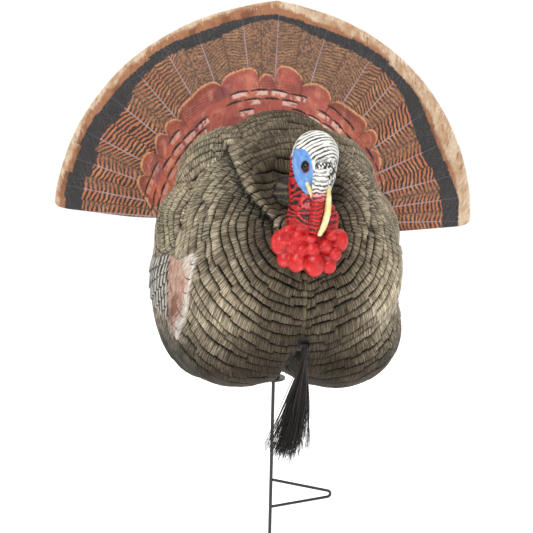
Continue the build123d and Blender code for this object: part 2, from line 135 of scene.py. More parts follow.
def add_object(name, data):
    """A new object, linked to the scene."""
    made = bpy.data.objects.new(name, data)
    bpy.context.scene.collection.objects.link(made)
    return made


def make_object(name, points, faces, material, body, colours, **fields):
    """A smooth mesh from points in millimetres, with its paint stored per point."""
    mesh = bpy.data.meshes.new(name)
    faces = np.asarray(faces, np.int32)
    mesh.vertices.add(len(points))
    mesh.vertices.foreach_set("co", (np.asarray(points, float) * MM).astype(np.float32).ravel())
    mesh.loops.add(faces.size)
    mesh.loops.foreach_set("vertex_index", faces.ravel())
    mesh.polygons.add(len(faces))
    starts = np.arange(0, faces.size, faces.shape[1], dtype=np.int32)
    mesh.polygons.foreach_set("loop_start", starts)
    mesh.update(calc_edges=True)
    mesh.validate()
    mesh.shade_smooth()
    store(mesh, colours, **fields)
    mesh.materials.append(material)
    piece = add_object(name, mesh)
    if body:
        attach(piece, body)
    return piece


def store(mesh, colours, **fields):
    """Store paint and other per-point fields on a mesh."""
    paint = mesh.attributes.new("paint", "FLOAT_COLOR", "POINT")
    solid = np.ones((len(mesh.vertices), 4), np.float32)
    solid[:, :3] = np.clip(colours, 0, 1)
    paint.data.foreach_set("color", solid.ravel())
    for key, values in fields.items():
        kind, slot = ("FLOAT", "value") if np.ndim(values) == 1 else ("FLOAT_VECTOR", "vector")
        data = mesh.attributes.new(key, kind, "POINT").data
        data.foreach_set(slot, np.asarray(values, np.float32).ravel())


def grid_faces(rows, columns, wrap=False):
    """Quads of a grid of points, row after row; wrap closes each row on itself."""
    r = np.arange(rows - 1)[:, None] * columns
    c = np.arange(columns if wrap else columns - 1)[None, :]
    after = (c + 1) % columns
    quads = [r + c, r + after, r + columns + after, r + columns + c]
    return np.stack(quads, -1).reshape(-1, 4)


def point_normals(points, faces):
    """Area-weighted normals at the points of a quad mesh."""
    a, b, c, d = (points[faces[:, k]] for k in range(4))
    face = np.cross(c - a, d - b)
    normals = np.zeros_like(points)
    for k in range(4):
        np.add.at(normals, faces[:, k], face)
    return normals / np.maximum(np.linalg.norm(normals, axis=1, keepdims=True), 1e-9)


# ---- materials ------------------------------------------------------------


class Nodes:
    """A material under construction."""

    def __init__(self, name, roughness=0.5, metallic=0.0, specular=0.5):
        self.material = bpy.data.materials.new(name)
        self.material.use_nodes = True
        self.tree = self.material.node_tree
        self.shader = self.tree.nodes["Principled BSDF"]
        self.shader.inputs["Roughness"].default_value = roughness
        self.shader.inputs["Metallic"].default_value = metallic
        self.shader.inputs["Specular IOR Level"].default_value = specular

    def add(self, kind, **settings):
        node = self.tree.nodes.new(kind)
        for key, value in settings.items():
            setattr(node, key, value)
        return node

    def put(self, value, target):
        """Link a socket or set a plain value."""
        if isinstance(value, bpy.types.NodeSocket):
            self.tree.links.new(value, target)
        else:
            target.default_value = value

    def make(self, kind, output, sockets, **settings):
        """Add a node, fill its inputs and give one of its outputs."""
        node = self.add(kind, **settings)
        for key, value in sockets.items():
            self.put(value, node.inputs[key])
        return node.outputs[output]

    def field(self, name, output="Color"):
        """A field stored on the points, by its Color, Fac or Vector."""
        return self.make("ShaderNodeAttribute", output, {}, attribute_name=name)

    def place(self, scale=(1, 1, 1), field=None):
        """Object coordinates, or a stored vector field, times a scale."""
        mapping = self.add("ShaderNodeMapping")
        mapping.inputs["Scale"].default_value = scale
        if field:
            where = self.field(field, "Vector")
        else:
            where = self.make("ShaderNodeTexCoord", "Object", {})
        self.put(where, mapping.inputs["Vector"])
        return mapping.outputs["Vector"]

    def noise(self, where, scale, detail=3.0, rough=0.6):
        """Noise from 0 to 1."""
        sockets = {"Scale": scale, "Detail": detail, "Roughness": rough, "Vector": where}
        return self.make("ShaderNodeTexNoise", "Fac", sockets)

    def span(self, value, low, high, out_low=0.0, out_high=1.0):
        """Carry low to high over to another span, and hold the ends."""
        sockets = {"From Min": low, "From Max": high, "To Min": out_low, "To Max": out_high}
        return self.make("ShaderNodeMapRange", "Result", {**sockets, "Value": value})

    def math(self, operation, a, b):
        """One operation on two numbers or sockets."""
        return self.make("ShaderNodeMath", 0, {0: a, 1: b}, operation=operation)

    def times(self, a, b):
        """Product of two numbers or sockets."""
        return self.math("MULTIPLY", a, b)

    def blend(self, a, b, factor):
        """Blend two colours by a factor."""
        sockets = {"Factor": factor, "A": rgba(a), "B": rgba(b)}
        return self.make("ShaderNodeMix", "Result", sockets, data_type="RGBA")

    def set(self, name, value):
        """Link or set one of the shader's inputs."""
        self.put(value, self.shader.inputs[name])

    def bump(self, height, strength, distance):
        """Fine relief that the mesh is too coarse to carry."""
        sockets = {"Strength": strength, "Distance": distance, "Height": height}
        self.set("Normal", self.make("ShaderNodeBump", "Normal", sockets))


def rgba(value):
    """A colour with its alpha; a socket passes through."""
    return value if isinstance(value, bpy.types.NodeSocket) else (*light(value), 1.0)


# ---- rounded shapes -------------------------------------------------------


def ellipsoid_field(points, centre, sizes):
    """Signed distance, roughly, to an ellipsoid."""
    local = points - np.array(centre, float)
    near = np.linalg.norm(local / sizes, axis=1)
    slope = np.linalg.norm(local / np.square(sizes), axis=1)
    return near * (near - 1) / np.maximum(slope, 1e-6)


def soft_union(total, field, softness):
    """Join two fields with a rounded valley between them."""
    h = np.clip(0.5 + 0.5 * (total - field) / softness, 0, 1)
    return total + (field - total) * h - softness * h * (1 - h)


def joined_field(points, lobes):
    """Signed distance, roughly, to lobes that join one after another."""
    total = ellipsoid_field(points, *lobes[0][:2])
    for centre, sizes, softness in lobes[1:]:
        total = soft_union(total, ellipsoid_field(points, centre, sizes), softness)
    return total


def cast(field, origins, rays, reach, steps):
    """Where rays leave a shape, searched between the two distances of a reach."""
    near, far = (np.full(len(rays), distance) for distance in reach)
    for _ in range(steps):
        middle = (near + far) / 2
        inside = field(origins + rays * middle[:, None]) < 0
        near, far = np.where(inside, middle, near), np.where(inside, far, middle)
    return origins + rays * near[:, None]


# ---- camera, light and floor ----------------------------------------------


def set_stage():
    """Pale floor, soft light, and a camera a little to the bird's right."""
    target = Vector((-0.014, 0, 0.370))
    azimuth, elevation, roll = radians(-8), radians(11), radians(1.3)
    distance = 1.5
    back = Vector((sin(azimuth) * cos(elevation), -cos(azimuth) * cos(elevation), sin(elevation)))
    camera = add_object("camera", bpy.data.cameras.new("camera"))
    camera.data.lens = 70.85
    camera.data.sensor_width = 36
    camera.data.clip_start = 0.05
    camera.location = target + back * distance
    camera.rotation_mode = "QUATERNION"
    camera.rotation_quaternion = (-back).to_track_quat("-Z", "Y") @ Quaternion((0, 0, 1), roll)
    bpy.context.scene.camera = camera

    lit_spot = Vector((0, 0, 0.38))
    lamps = {
        # place in metres, size in metres and power in watts
        "key": ((-0.9, -1.5, 1.7), 0.9, 27),
        "fill": ((0.9, -1.7, 0.35), 1.4, 9),
        "top": ((0.1, 0.2, 2.0), 1.2, 8),
        "back": ((0.6, 1.6, 1.2), 1.2, 12),
    }
    for name, (place, size, power) in lamps.items():
        lamp = add_object(name, bpy.data.lights.new(name, "AREA"))
        lamp.data.size = size
        lamp.data.energy = power
        lamp.location = place
        lamp.rotation_euler = (lit_spot - lamp.location).to_track_quat("-Z", "Y").to_euler()

    # the sky lights the scene at half the strength at which the camera sees it
    world = bpy.data.worlds.new("studio")
    world.use_nodes = True
    tree = world.node_tree
    tree.nodes["Background"].inputs["Color"].default_value = (1, 1, 1, 1)
    seen = tree.nodes.new("ShaderNodeLightPath").outputs["Is Camera Ray"]
    level = tree.nodes.new("ShaderNodeMapRange")
    level.inputs["To Min"].default_value = 0.5
    level.inputs["To Max"].default_value = 1.05
    tree.links.new(seen, level.inputs["Value"])
    tree.links.new(level.outputs["Result"], tree.nodes["Background"].inputs["Strength"])
    bpy.context.scene.world = world
    bpy.context.scene.view_settings.view_transform = "Standard"

    low = CAD_BOX[0][2]
    paper = Nodes("floor_paper", roughness=0.9)
    fleck = paper.noise(paper.place(), 3)
    paper.set("Base Color", paper.blend((250, 250, 250), (255, 255, 255), fleck))
    paper.set("Emission Color", (1, 1, 1, 1))
    paper.set("Emission Strength", 0.54)
    mesh = bpy.data.meshes.new("floor")
    half = 40.0
    corners = [(-half, -half, low), (half, -half, low), (half, half, low), (-half, half, low)]
    mesh.from_pydata(corners, [], [(0, 1, 2, 3)])
    mesh.materials.append(paper.material)
    floor = add_object("floor", mesh)


set_stage()


# ---- body -----------------------------------------------------------------

# lobes of the moulded body: centre, half sizes and how softly each one joins
LOBES = [
    ((0, -62, 396), (154, 160, 168), 0),
    ((0, -140, 384), (140, 102, 118), 30),
    ((66, -78, 304), (94, 120, 82), 14),
    ((-66, -78, 308), (94, 120, 82), 14),
    ((94, -14, 352), (70, 112, 136), 16),
    ((-104, -14, 352), (74, 112, 136), 16),
    ((98, -34, 424), (66, 86, 72), 9),
    ((-106, -34, 428), (66, 86, 74), 9),
    ((64, -2, 482), (74, 92, 80), 9),
    ((-68, -2, 484), (76, 92, 82), 9),
    ((0, 0, 500), (92, 96, 90), 10),
]
SHOULDER_LOBE, SCAPULAR_LOBE = LOBES[7], LOBES[9]
BODY_MIDDLE = np.array((0.0, -66.0, 382.0))
NECK_BASE = np.array((2.0, -212.0, 452.0))
NECK_SEAT = np.array((0.0, -170.0, 490.0))
NECK_AXIS = np.array((0.0, -sin(radians(35)), cos(radians(35))))
COLLAR_TOP, COLLAR_HOLE_R = 5.7, 31.5
WRIST_Y, WRIST_Z = -180.0, 426.0
RUMP_Y = 101.5
BELLY_Z = 206.5
FIRST_ROW, ROW_GROWTH = 7.5, 0.036
BREAST_FEATHER = 34
UP = np.array((0, 0, 1.0))
FAR_WING_BACK = np.array((0, 55.0, 0))
# scapular, shoulder and rump feathers lie in rings: their centre and axis, the radius where the
# rows start, the pitch of the rows, their unevenness, how many feathers row n has, and a seed
RINGS = [
    ((-60, -190, 330), (-0.5, -0.7, 0.2), 0, 13, 0.6, lambda n: n * 13 * 2 * pi / 28, 11),
    ((-70, -170, 470), (-0.8, -0.5, 0.1), 0, 12.5, 0.9, lambda n: n * 12.5 * 2 * pi / 24, 23),
    ((0, 90, 430), (0, 1, 0), 300, -14, 0.7, lambda n: (22 - n) * 2.4, 37),
]
# creases where the moulded lobes overlap, from back to neck, and how deep each one is
CREASES = [
    (((-80, -50, 547), (-78, -123, 526), (-68, -175, 497), (-41, -212, 468)), 1.0),
    (((72, -70, 546), (89, -127, 515), (93, -149, 496), (84, -201, 452)), 0.9),
    (((-122, -105, 488), (-112, -147, 476), (-111, -175, 452), (-116, -190, 420)), 0.7),
]


def cube_sphere(count):
    """Directions on a sphere, spread as six square grids sharing their edges."""
    line = np.tan(np.linspace(-pi / 4, pi / 4, count))
    u, v = (g.ravel() for g in np.meshgrid(line, line, indexing="ij"))
    one = np.ones_like(u)
    sides = [(one, u, v), (-one, v, u), (v, one, u), (u, -one, v), (u, v, one), (v, u, -one)]
    points = np.concatenate([np.stack(side, 1) for side in sides])
    square = grid_faces(count, count)[:, ::-1]
    faces = np.concatenate([square + k * count * count for k in range(6)])
    keys = np.round(points * 1e6).astype(np.int64)
    _, first, back = np.unique(keys, axis=0, return_index=True, return_inverse=True)
    points = points[first]
    return points / np.linalg.norm(points, axis=1, keepdims=True), back.reshape(-1)[faces]


def neck_frame(points):
    """Height up the neck's axis from its seat, and distance from that axis."""
    along = (points - NECK_SEAT) @ NECK_AXIS
    return along, np.linalg.norm(points - NECK_SEAT - along[:, None] * NECK_AXIS, axis=1)


def row_edge(number, turn, around, seed):
    """Place of a feather row's edge, in rows, broken into steps around the body."""
    places = np.maximum(np.round(around(number)), 6)
    cell = np.floor(turn / (2 * pi) * places + 7 * scatter(number, seed))
    jump = scatter(number, cell, seed + 1) - 0.5
    return number + 0.46 * jump, cell


def feather_rows(rows, turn, around, seed=0):
    """Split a rising coordinate into overlapping rows.

    Returns the row's number, the place across it from 0 to 1, the feather's
    cell and how hard the row's inner edge is cut.
    """
    near = np.round(rows)
    edge, cell = row_edge(near, turn, around, seed)
    before, cell_before = row_edge(near - 1, turn, around, seed)
    after, _ = row_edge(near + 1, turn, around, seed)
    past = rows >= edge
    start, end = np.where(past, edge, before), np.where(past, after, edge)
    number = np.where(past, near, near - 1)
    cell = np.where(past, cell, cell_before)
    across = (rows - start) / np.maximum(end - start, 0.05)
    cut = scatter(number, cell, seed + 2)
    return number, np.clip(across, 0, 1), cell, cut


def polar(points, centre, axis, zero):
    """Distance from a centre and turn about an axis."""
    local = points - centre
    axis = axis / np.linalg.norm(axis)
    zero = zero - axis * (zero @ axis)
    zero /= np.linalg.norm(zero)
    side = np.cross(axis, zero)
    return np.linalg.norm(local, axis=1), np.arctan2(local @ side, local @ zero)


def crease_relief(points):
    """Relief, painted shadow and a painted highlight on the lip along the creases between the
    lobes.
    """
    relief, shadow, lip = (np.zeros(len(points)) for _ in range(3))
    for path, depth in CREASES:
        path = np.array(path, float)
        inward = np.array((-0.8 * np.sign(path[0, 0]), 0.0, 0.6))
        distance, across = np.full(len(points), 1e9), np.zeros(len(points))
        for start, end in zip(path[:-1], path[1:]):
            span = end - start
            t = np.clip(((points - start) @ span) / (span @ span), 0, 1)
            away = points - (start + t[:, None] * span)
            length = np.linalg.norm(away, axis=1)
            closer = length < distance
            distance = np.where(closer, length, distance)
            across = np.where(closer, away @ inward, across)
        inner = smooth(-1.0, 1.5, across)
        relief += depth * inner * 3.0 * np.exp(-distance / 34)
        relief -= depth * (1 - inner) * 4.4 * np.exp(-distance / 16)
        # painted shadow in and beside the outer side of each crease, and a painted highlight on its
        # inner lip
        shadow = np.maximum(shadow, depth * (1 - inner) * np.exp(-distance / 13))
        shadow = np.maximum(shadow, depth * smooth(3.6, 1.8, distance))
        lip = np.maximum(lip, depth * inner * smooth(2, 5, distance) * smooth(20, 8, distance))
    return relief, shadow, lip


def plumage(points):
    """Relief in millimetres, paint with its painted light and shade, striation coordinates and
    sheen for the body.
    """
    x, y, z = points.T
    side = np.abs(x)
    mirrored = np.stack([-side, y, z], 1)
    wobble = layers(points, 60, 3) - 0.5

    # rows around the neck over breast, belly and back
    reach, turn = polar(points, NECK_BASE, NECK_AXIS, np.array((0, 1.0, 0)))
    reach = reach + 9 * wobble + 5 * (noise(points, 22, 8) - 0.5)
    rows = np.log1p(reach * ROW_GROWTH / FIRST_ROW) / ROW_GROWTH

    def row_reach(number):
        return np.expm1(number * ROW_GROWTH) * FIRST_ROW / ROW_GROWTH

    number, across, cell, cut = feather_rows(
        rows, turn, lambda n: 2 * pi * row_reach(n) / BREAST_FEATHER
    )
    flow = np.stack([turn * row_reach(number), reach, number], 1)

    # rows of the scapular, shoulder and rump feathers, in rings of their own
    scapular, shoulder = (lobe_weight(mirrored, lobe) for lobe in (SCAPULAR_LOBE, SHOULDER_LOBE))
    rump = smooth(34, 46, y + 14 * wobble)
    covers = ((scapular, mirrored), (shoulder, mirrored), (rump, points))
    for (centre, axis, start, pitch, bend, places, seed), (weight, where) in zip(RINGS, covers):
        ring, spin = polar(where, np.array(centre, float), np.array(axis, float), UP)
        other = feather_rows((ring - start) / pitch + bend * wobble, spin, places, seed)
        pick = weight > 0.5
        number, across, cell, cut = (
            np.where(pick, new, old) for new, old in zip(other, (number, across, cell, cut))
        )
        flow[pick] = np.stack([spin * (start + pitch * other[0]), ring, other[0]], 1)[pick]
    border = np.minimum(np.abs(scapular - 0.5), np.abs(shoulder - 0.5))
    creased, shadow, lip = crease_relief(points)

    hard = smooth(0.12, 0.6, cut)
    groove = smooth(0.21, 0.09, across) * (0.4 + 0.6 * hard)
    relief = 1.8 * across - 1.7 * groove
    relief += 0.9 * (scatter(number, cell, 5) - 0.5) * smooth(0, 0.3, across)
    relief += creased - 2.5 * smooth(0.1, 0.0, border)

    # parting seam down the breast, and the cleft below it
    seam = smooth(3.0, 0.8, np.abs(x)) * smooth(-170, -195, y) * smooth(425, 405, z)
    relief += 1.3 * seam
    cleft = np.exp(-np.square(x / 11)) * smooth(316, 276, z) * smooth(-40, -110, y)
    relief -= 24 * cleft

    # folded wings: long quills sweeping down and back from the wrist
    wing, wing_relief, wing_paint = wing_feathers(mirrored - (x > 0)[:, None] * FAR_WING_BACK)
    relief = mix(relief, wing_relief, wing)

    # dark base coat, dry-brushed bronze on the outer part of each feather brightened by painted
    # light, and painted shade brushed over it
    base = mix((40, 34, 28), (68, 58, 46), layers(points, 30, 31))
    brown = smooth(345, 265, z) * smooth(60, -60, y)
    middle = smooth(95, 35, side) * smooth(-60, -150, y)
    base = mix(base, (46, 38, 30), 0.8 * brown)
    # painted light: lighter on the sides and the bird's left, darker in the breast's middle, on the
    # bird's right and high near the neck
    painted_light = 0.2 + 0.42 * smooth(45, 120, side) * smooth(250, 330, z)
    painted_light = (painted_light + 0.22 * smooth(0.3, 0.75, noise(points, 62, 47))) * (1 - 0.4 * middle)
    painted_light = painted_light * (1 - 0.12 * (x < 0)) * (1 + 0.2 * smooth(40, 90, x))
    painted_light = painted_light * (1 - 0.2 * smooth(430, 480, z) * smooth(115, 85, side))
    dab = smooth(0.2, 0.75, layers(points, 16, 41) * 0.7 + 0.3 * cut)
    drybrush_and_painted_light = smooth(0.02, 0.5, across) * (0.45 + 0.55 * dab)
    # painted light and a painted highlight on the crease lips brighten the dry-brushed bronze
    drybrush_and_painted_light = np.clip(drybrush_and_painted_light * (painted_light + 0.25 * lip) * (1 - 0.8 * brown), 0, 1)
    green = smooth(0.45, 0.7, noise(points, 55, 53)) * smooth(60, 110, side) * smooth(360, 430, z)
    shine = mix((204, 182, 144), (172, 170, 126), 0.6 * green)
    paint = coats(
        mix(base, shine, 0.85 * drybrush_and_painted_light),
        # painted shade along the inner edge of each row, under the row before it
        ((34, 30, 26), 0.55 * smooth(0.38, 0.0, across) * hard),
        # near-black painted shade in the grooves between the rows
        ((8, 9, 10), np.clip(1.8 * groove, 0, 1)),
        # painted shade in the groove along the borders of the scapular and shoulder feathers
        ((16, 14, 13), 0.7 * smooth(0.12, 0.0, border)),
        ((12, 11, 10), np.clip(shadow, 0, 0.92)),
        # painted shade in the cleft below the breast
        ((18, 16, 15), 0.8 * np.clip(cleft, 0, 1)),
        # painted shade towards the back, under the fan
        ((30, 27, 24), 0.35 * smooth(30, 90, y)),
        # painted shade low on the outer sides
        ((26, 22, 18), 0.45 * smooth(90, 140, side) * smooth(370, 300, z)),
        ((112, 102, 80), 0.55 * seam),
        (wing_paint, wing),
    )
    # sheen of the pearl paint, carrying the painted light; it sets the specular level and the
    # painted glints
    pearl = drybrush_and_painted_light * (1 - wing) * (1 - groove)
    return relief, paint, flow / 10, pearl


def lobe_weight(points, lobe):
    """1 where a lobe is the outermost one, 0 away from it, 0.5 at its border."""
    centre, sizes, _ = lobe
    local = (points - np.array(centre, float)) / sizes
    return smooth(1.11, 0.97, np.linalg.norm(local, axis=1))


def wing_feathers(points):
    """Folded wing on the side: coverage, relief and paint."""
    x, y, z = points.T
    forward, down = y - WRIST_Y, WRIST_Z - z
    reach = np.hypot(forward, down)
    swing = np.arctan2(forward, down) - 0.3 * smooth(15, 95, reach)
    index = (swing + 0.02) / 0.118
    feather = np.floor(index)
    f = index - feather
    length = 132 + 92 * smooth(0.2, 1.15, swing)
    inside = smooth(103, 112, -x) * smooth(length + 3, length - 3, reach + 14 * np.abs(f - 0.4))
    inside *= smooth(-0.03, 0.01, swing) * smooth(1.06, 1.01, swing) * smooth(5, 12, reach)
    edge = np.abs(f - 0.5) * 2
    relief = 4.2 - 2.2 * f - 1.6 * smooth(0.86, 1.0, edge)
    spot = np.stack([reach, swing * reach], 1)
    slant = 1.2 * np.sin(feather * 2.3) + 3.0 * (f - 0.5)
    bars = np.sin(reach / 1.7 + slant + 2 * noise(spot, 9, 73))
    bars = bars + 0.9 * (noise(spot, 4, 75) - 0.5)
    barred = mix((84, 78, 70), (214, 210, 200), smooth(-0.5, 0.3, bars))
    front = smooth(-92, -101, y + 0.7 * np.maximum(345 - z, 0) + 8 * (f - 0.5))
    # the front group: broad overlapping scales, pinker near the wrist, with a white rim
    scale = reach / 20 + 0.03 * np.square(index - 2.4) + 0.1 * noise(spot, 14, 79)
    rung = scale - np.floor(scale)
    patch = coats(
        mix((204, 160, 140), (142, 100, 82), smooth(50, 125, reach)),
        ((222, 190, 172), 0.6 * smooth(0.35, 0.7, layers(spot, 7, 71))),
        ((232, 224, 214), 0.85 * smooth(1.7, 0.5, index + 0.9 * (noise(spot, 3, 77) - 0.5))),
        ((230, 222, 212), 0.8 * smooth(46, 18, reach)),
        ((62, 46, 38), 0.75 * smooth(0.13, 0.05, rung) * smooth(0.3, 0.8, index)),
    )
    relief = mix(relief, 3.2 + 1.3 * rung - 0.9 * smooth(0.12, 0.04, rung), front)
    paint = mix(barred, patch, front)
    edge = edge * (1 - front) + front * smooth(0.1, 0.0, np.abs(front - 0.5))
    paint = mix(paint, (40, 34, 30), 0.85 * smooth(0.93, 0.99, edge) * (index > 0.5))
    return inside, relief, paint


def feather_paint():
    """Moulded plumage: dry-brushed bronze with fine barbs across each row, with painted glints on
    the barbs as highlights.
    """
    m = Nodes("feather_paint", roughness=0.5, specular=0.25)
    paint = m.field("paint")
    barbs = m.noise(m.place((7.0, 0.6, 1), field="flow"), 1.0, detail=4, rough=0.7)
    fine = m.noise(m.place((16, 1.4, 1), field="flow"), 1.0, detail=2)
    speck = m.noise(m.place(), 420, detail=3)
    pearl = m.field("pearl", "Fac")
    # painted glints: pale highlights on the barbs, strongest where the sheen carries painted light
    painted_glint = m.times(m.span(barbs, 0.46, 0.6), pearl)
    dark = m.blend(paint, (8, 8, 8), m.times(m.span(barbs, 0.56, 0.36), 0.6))
    painted_light = m.blend(dark, (246, 232, 204), m.times(painted_glint, 0.95))
    painted_light = m.blend(painted_light, (10, 10, 10), m.times(m.span(fine, 0.56, 0.36), 0.4))
    m.set("Base Color", m.blend(painted_light, (120, 112, 92), m.times(m.span(speck, 0.6, 0.8), 0.1)))
    m.set("Roughness", m.span(painted_glint, 0.0, 0.8, 0.62, 0.3))
    m.set("Metallic", m.times(painted_glint, 0.7))
    m.set("Specular IOR Level", m.span(pearl, 0.0, 0.5, 0.03, 0.3))
    grain = m.math("ADD", m.times(barbs, 0.7), m.times(fine, 0.3))
    m.bump(grain, 0.55, 0.0009)
    return m.material


def build_body():
    """Hollow moulded body with its plumage, open at the neck socket."""
    directions, faces = cube_sphere(230)
    points = cast(lambda p: joined_field(p, LOBES), BODY_MIDDLE, directions, (20.0, 330.0), 22)
    normals = point_normals(points, faces)
    relief, paint, flow, pearl = plumage(points)
    points = points + normals * relief[:, None]
    points[:, 1] = np.minimum(points[:, 1], RUMP_Y)
    points[:, 2] = np.maximum(points[:, 2], BELLY_Z)
    # a flat seat round the collar, with the neck hole in it
    along, off_axis = neck_frame(points)
    shelf = smooth(62, 37, off_axis) * (along > -40)
    points = points + ((COLLAR_TOP - along) * shelf)[:, None] * NECK_AXIS
    hole = (off_axis < COLLAR_HOLE_R) & (along > -40)
    faces = faces[~hole[faces].all(axis=1)]
    body = make_object(
        "plumage_body", points, faces, feather_paint(), "body", paint, flow=flow, pearl=pearl
    )
    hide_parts("body_shell")


build_body()


# ---- tail fan -------------------------------------------------------------

FAN_ROOT = (0.0, 413.0)
FAN_TILT = 1.3
RIB_STEP = 21.0
RIBS_PER_SIDE = 4
CLOTH_ROOT_R = 33.0
RIB_FRONT_Y, RIB_PITCH, RIB_THICK = 108.2, 1.2, 1.0
CLOTH_THICK = 0.4
FLAP_WIDTH, CORNER_R = {-1: 16.0, 1: 29.0}, 13.0
POCKET_SPAN, POCKET_HALF, POCKET_GAP = (172, 317), 4.7, 0.06
QUILLS = np.array(
    (-86, -79, -71, -63, -51, -41, -31, -21, -8, 2, 16, 31, 41, 54, 65, 75, 82, 89), float
)
QUILL_BORDERS = (QUILLS[1:] + QUILLS[:-1]) / 2
# dark rows with a pale lip on the coverts: how many, their pitch, and a feather's width in degrees
LIPPED_ROWS, LIPPED_PITCH, LIPPED_WIDTH = 5, 12.5, 8.5
BLACK = (44, 44, 47)


def hem_reach(bearing):
    """Radius of the cloth's edge at a bearing in degrees from upright."""
    reach = 318.5 + 4.5 * smooth(-30, 30, bearing) + 2.0 * smooth(55, 85, np.abs(bearing))
    return reach + 13.5 * np.exp(-np.abs(bearing - FAN_TILT) / 16)


def layer_y(side, count):
    """Depth of a rib's front face: the ribs are stacked left and right in turn."""
    layer = np.where(count == 0, 0, 2 * count - (side > 0))
    return RIB_FRONT_Y + RIB_PITCH * layer


def on_cloth(bearing, radius):
    """Place on the flat cloth: along the arc and outwards."""
    return np.stack([np.radians(bearing) * radius, radius], 1)


def frayed(bearing, radius, grain, seed):
    """Fine noise stretched along the feathers, from -1 to 1."""
    where = np.stack([np.radians(bearing) * radius / grain, radius / (grain * 4)], 1)
    return 2 * layers(where, 1.0, seed) - 1


def tip_colours(bearing, radius, deep, luck):
    """Cream and chestnut band between the hem and the black band."""
    spot = on_cloth(bearing, radius)
    streak = frayed(bearing, radius, 1.6, 5)
    cloud = layers(spot, 17, 9)
    chestnut = mix((158, 108, 76), (122, 74, 48), smooth(0.35, 0.75, cloud))
    cream = mix((206, 184, 158), (178, 140, 104), smooth(0.2, 0.8, layers(spot, 9, 14)))
    right = smooth(-4, 8, bearing)
    width = 8 + 9 * right + 6 * smooth(30, 75, bearing) + 11 * (cloud - 0.5) + 6 * (luck - 0.5)
    return coats(
        mix(cream, chestnut, smooth(width - 3, width + 3, deep + 2.4 * streak)),
        ((238, 228, 212), 0.75 * smooth(0.3, 0.62, streak) * smooth(15, 5, deep)),
        ((120, 66, 38), 0.6 * smooth(0.34, 0.6, frayed(bearing, radius, 2.2, 25))),
        ((244, 240, 234), smooth(2.6, 0.8, deep)),
    )


def web_colours(bearing, radius, deep, lateral, cell, luck):
    """Barred vanes between the coverts and the black band."""
    side = smooth(14, 52, np.abs(bearing))
    spot = np.stack([lateral + 90 * cell, radius], 1)
    wobble = layers(spot, 9, 33) - 0.5
    speckle = layers(spot, 1.9, 35)
    period = mix(4.3, 6.4, side)
    lean = mix(0.0, 0.5, side) * (scatter(cell, 4) - 0.5) * 2
    phase = (deep + lean * lateral + 0.3 * np.abs(lateral) + 5.5 * wobble) / period + 7 * luck
    wave = np.sin(2 * pi * phase)
    orange = mix((150, 108, 80), (178, 108, 74), side)
    orange = mix(orange, (206, 154, 110), 0.6 * smooth(0.5, 0.8, layers(spot, 13, 37)))
    dark = mix((78, 64, 56), (48, 43, 42), side)
    colours = mix(orange, dark, smooth(-0.4, 0.3, wave + 0.9 * (speckle - 0.5)))
    dusty = mix((156, 114, 88), (86, 68, 58), smooth(0.36, 0.62, speckle))
    vane = np.where(scatter(cell, 6) > 0.5, lateral, -lateral)
    colours = mix(colours, dusty, smooth(4, 11, vane) * mix(0.75, 0.5, side))
    return mix(colours, dusty, 0.4 * (1 - side))


def covert_edge(bearing):
    """Scalloped outer edge of the coverts and how far across its scallop a point is."""
    swept = np.abs(bearing)
    base = 234 - 13 * smooth(0, 38, swept) - 18 * smooth(45, 70, swept) - 30 * smooth(66, 90, swept)
    place = (bearing + 96) / 12.5 + 0.34 * np.sin(bearing / 9) + 0.16 * np.sin(bearing / 3.7)
    cell = np.floor(place)
    across = 2 * (place - cell) - 1
    rise = 18 * scatter(cell, 77) - 8
    return base + rise - 9 * np.square(across) ** 2 - 4 * np.square(across), cell, across


def covert_colours(bearing, radius, inset, cell, across):
    """Salmon coverts with a tan fringe, and the dark lipped rows nearest the body."""
    spot = on_cloth(bearing, radius)
    swept = smooth(20, 60, np.abs(bearing))
    cloud = layers(spot, 26, 51)
    streak = frayed(bearing, radius, 2.0, 53)
    dusk = smooth(2, 5, inset) * smooth(15, 8, inset) * (0.25 + 0.75 * scatter(cell, 79))
    row = 200 - 12 * swept
    bars = np.sin(2 * pi * (radius + 2.5 * cloud) / 3.6) > 0.25
    barred = smooth(row - 2, row + 2, radius) * smooth(row + 20, row + 12, radius) * (cell % 3 != 0)
    colours = coats(
        mix((180, 92, 80), (184, 96, 70), swept),
        ((142, 76, 78), smooth(0.45, 0.8, cloud)),
        ((210, 132, 108), 0.75 * smooth(0.52, 0.8, layers(spot, 15, 57))),
        ((122, 60, 46), 0.5 * smooth(0.1, 0.55, streak)),
        ((112, 58, 44), 0.8 * dusk),
        ((214, 156, 110), smooth(3.6, 1.2, inset + 1.2 * streak)),
        ((110, 56, 44), 0.7 * smooth(0.9, 0.99, np.abs(across)) * smooth(26, 10, inset)),
        ((104, 62, 48), 0.6 * bars * barred),
    )
    for number in range(LIPPED_ROWS):
        ring = row - LIPPED_PITCH * number + 5 * (noise(spot, 40, 61 + number) - 0.5)
        place = bearing / LIPPED_WIDTH + 0.4 * number
        part = np.floor(place)
        shown = scatter(part, 83 + number)
        hump = np.sin(pi * (place - part))
        taper = hump**0.4
        off = radius - ring
        black = smooth(0.4, 1.0, off) * smooth(4.4 * taper, 3.4 * taper, off) * (shown > 0.22)
        lip = smooth(-6.5, -5.0, off) * smooth(1.0, 0.2, off) * (shown > 0.4)
        lip *= smooth(0.3, 0.5, layers(spot, 5, 67 + number)) * mix(0.9, 0.3, swept)
        lip *= smooth(0.15, 0.5, hump)
        colours = coats(colours, ((240, 200, 184), 0.9 * lip), ((34, 30, 31), black))
    return colours


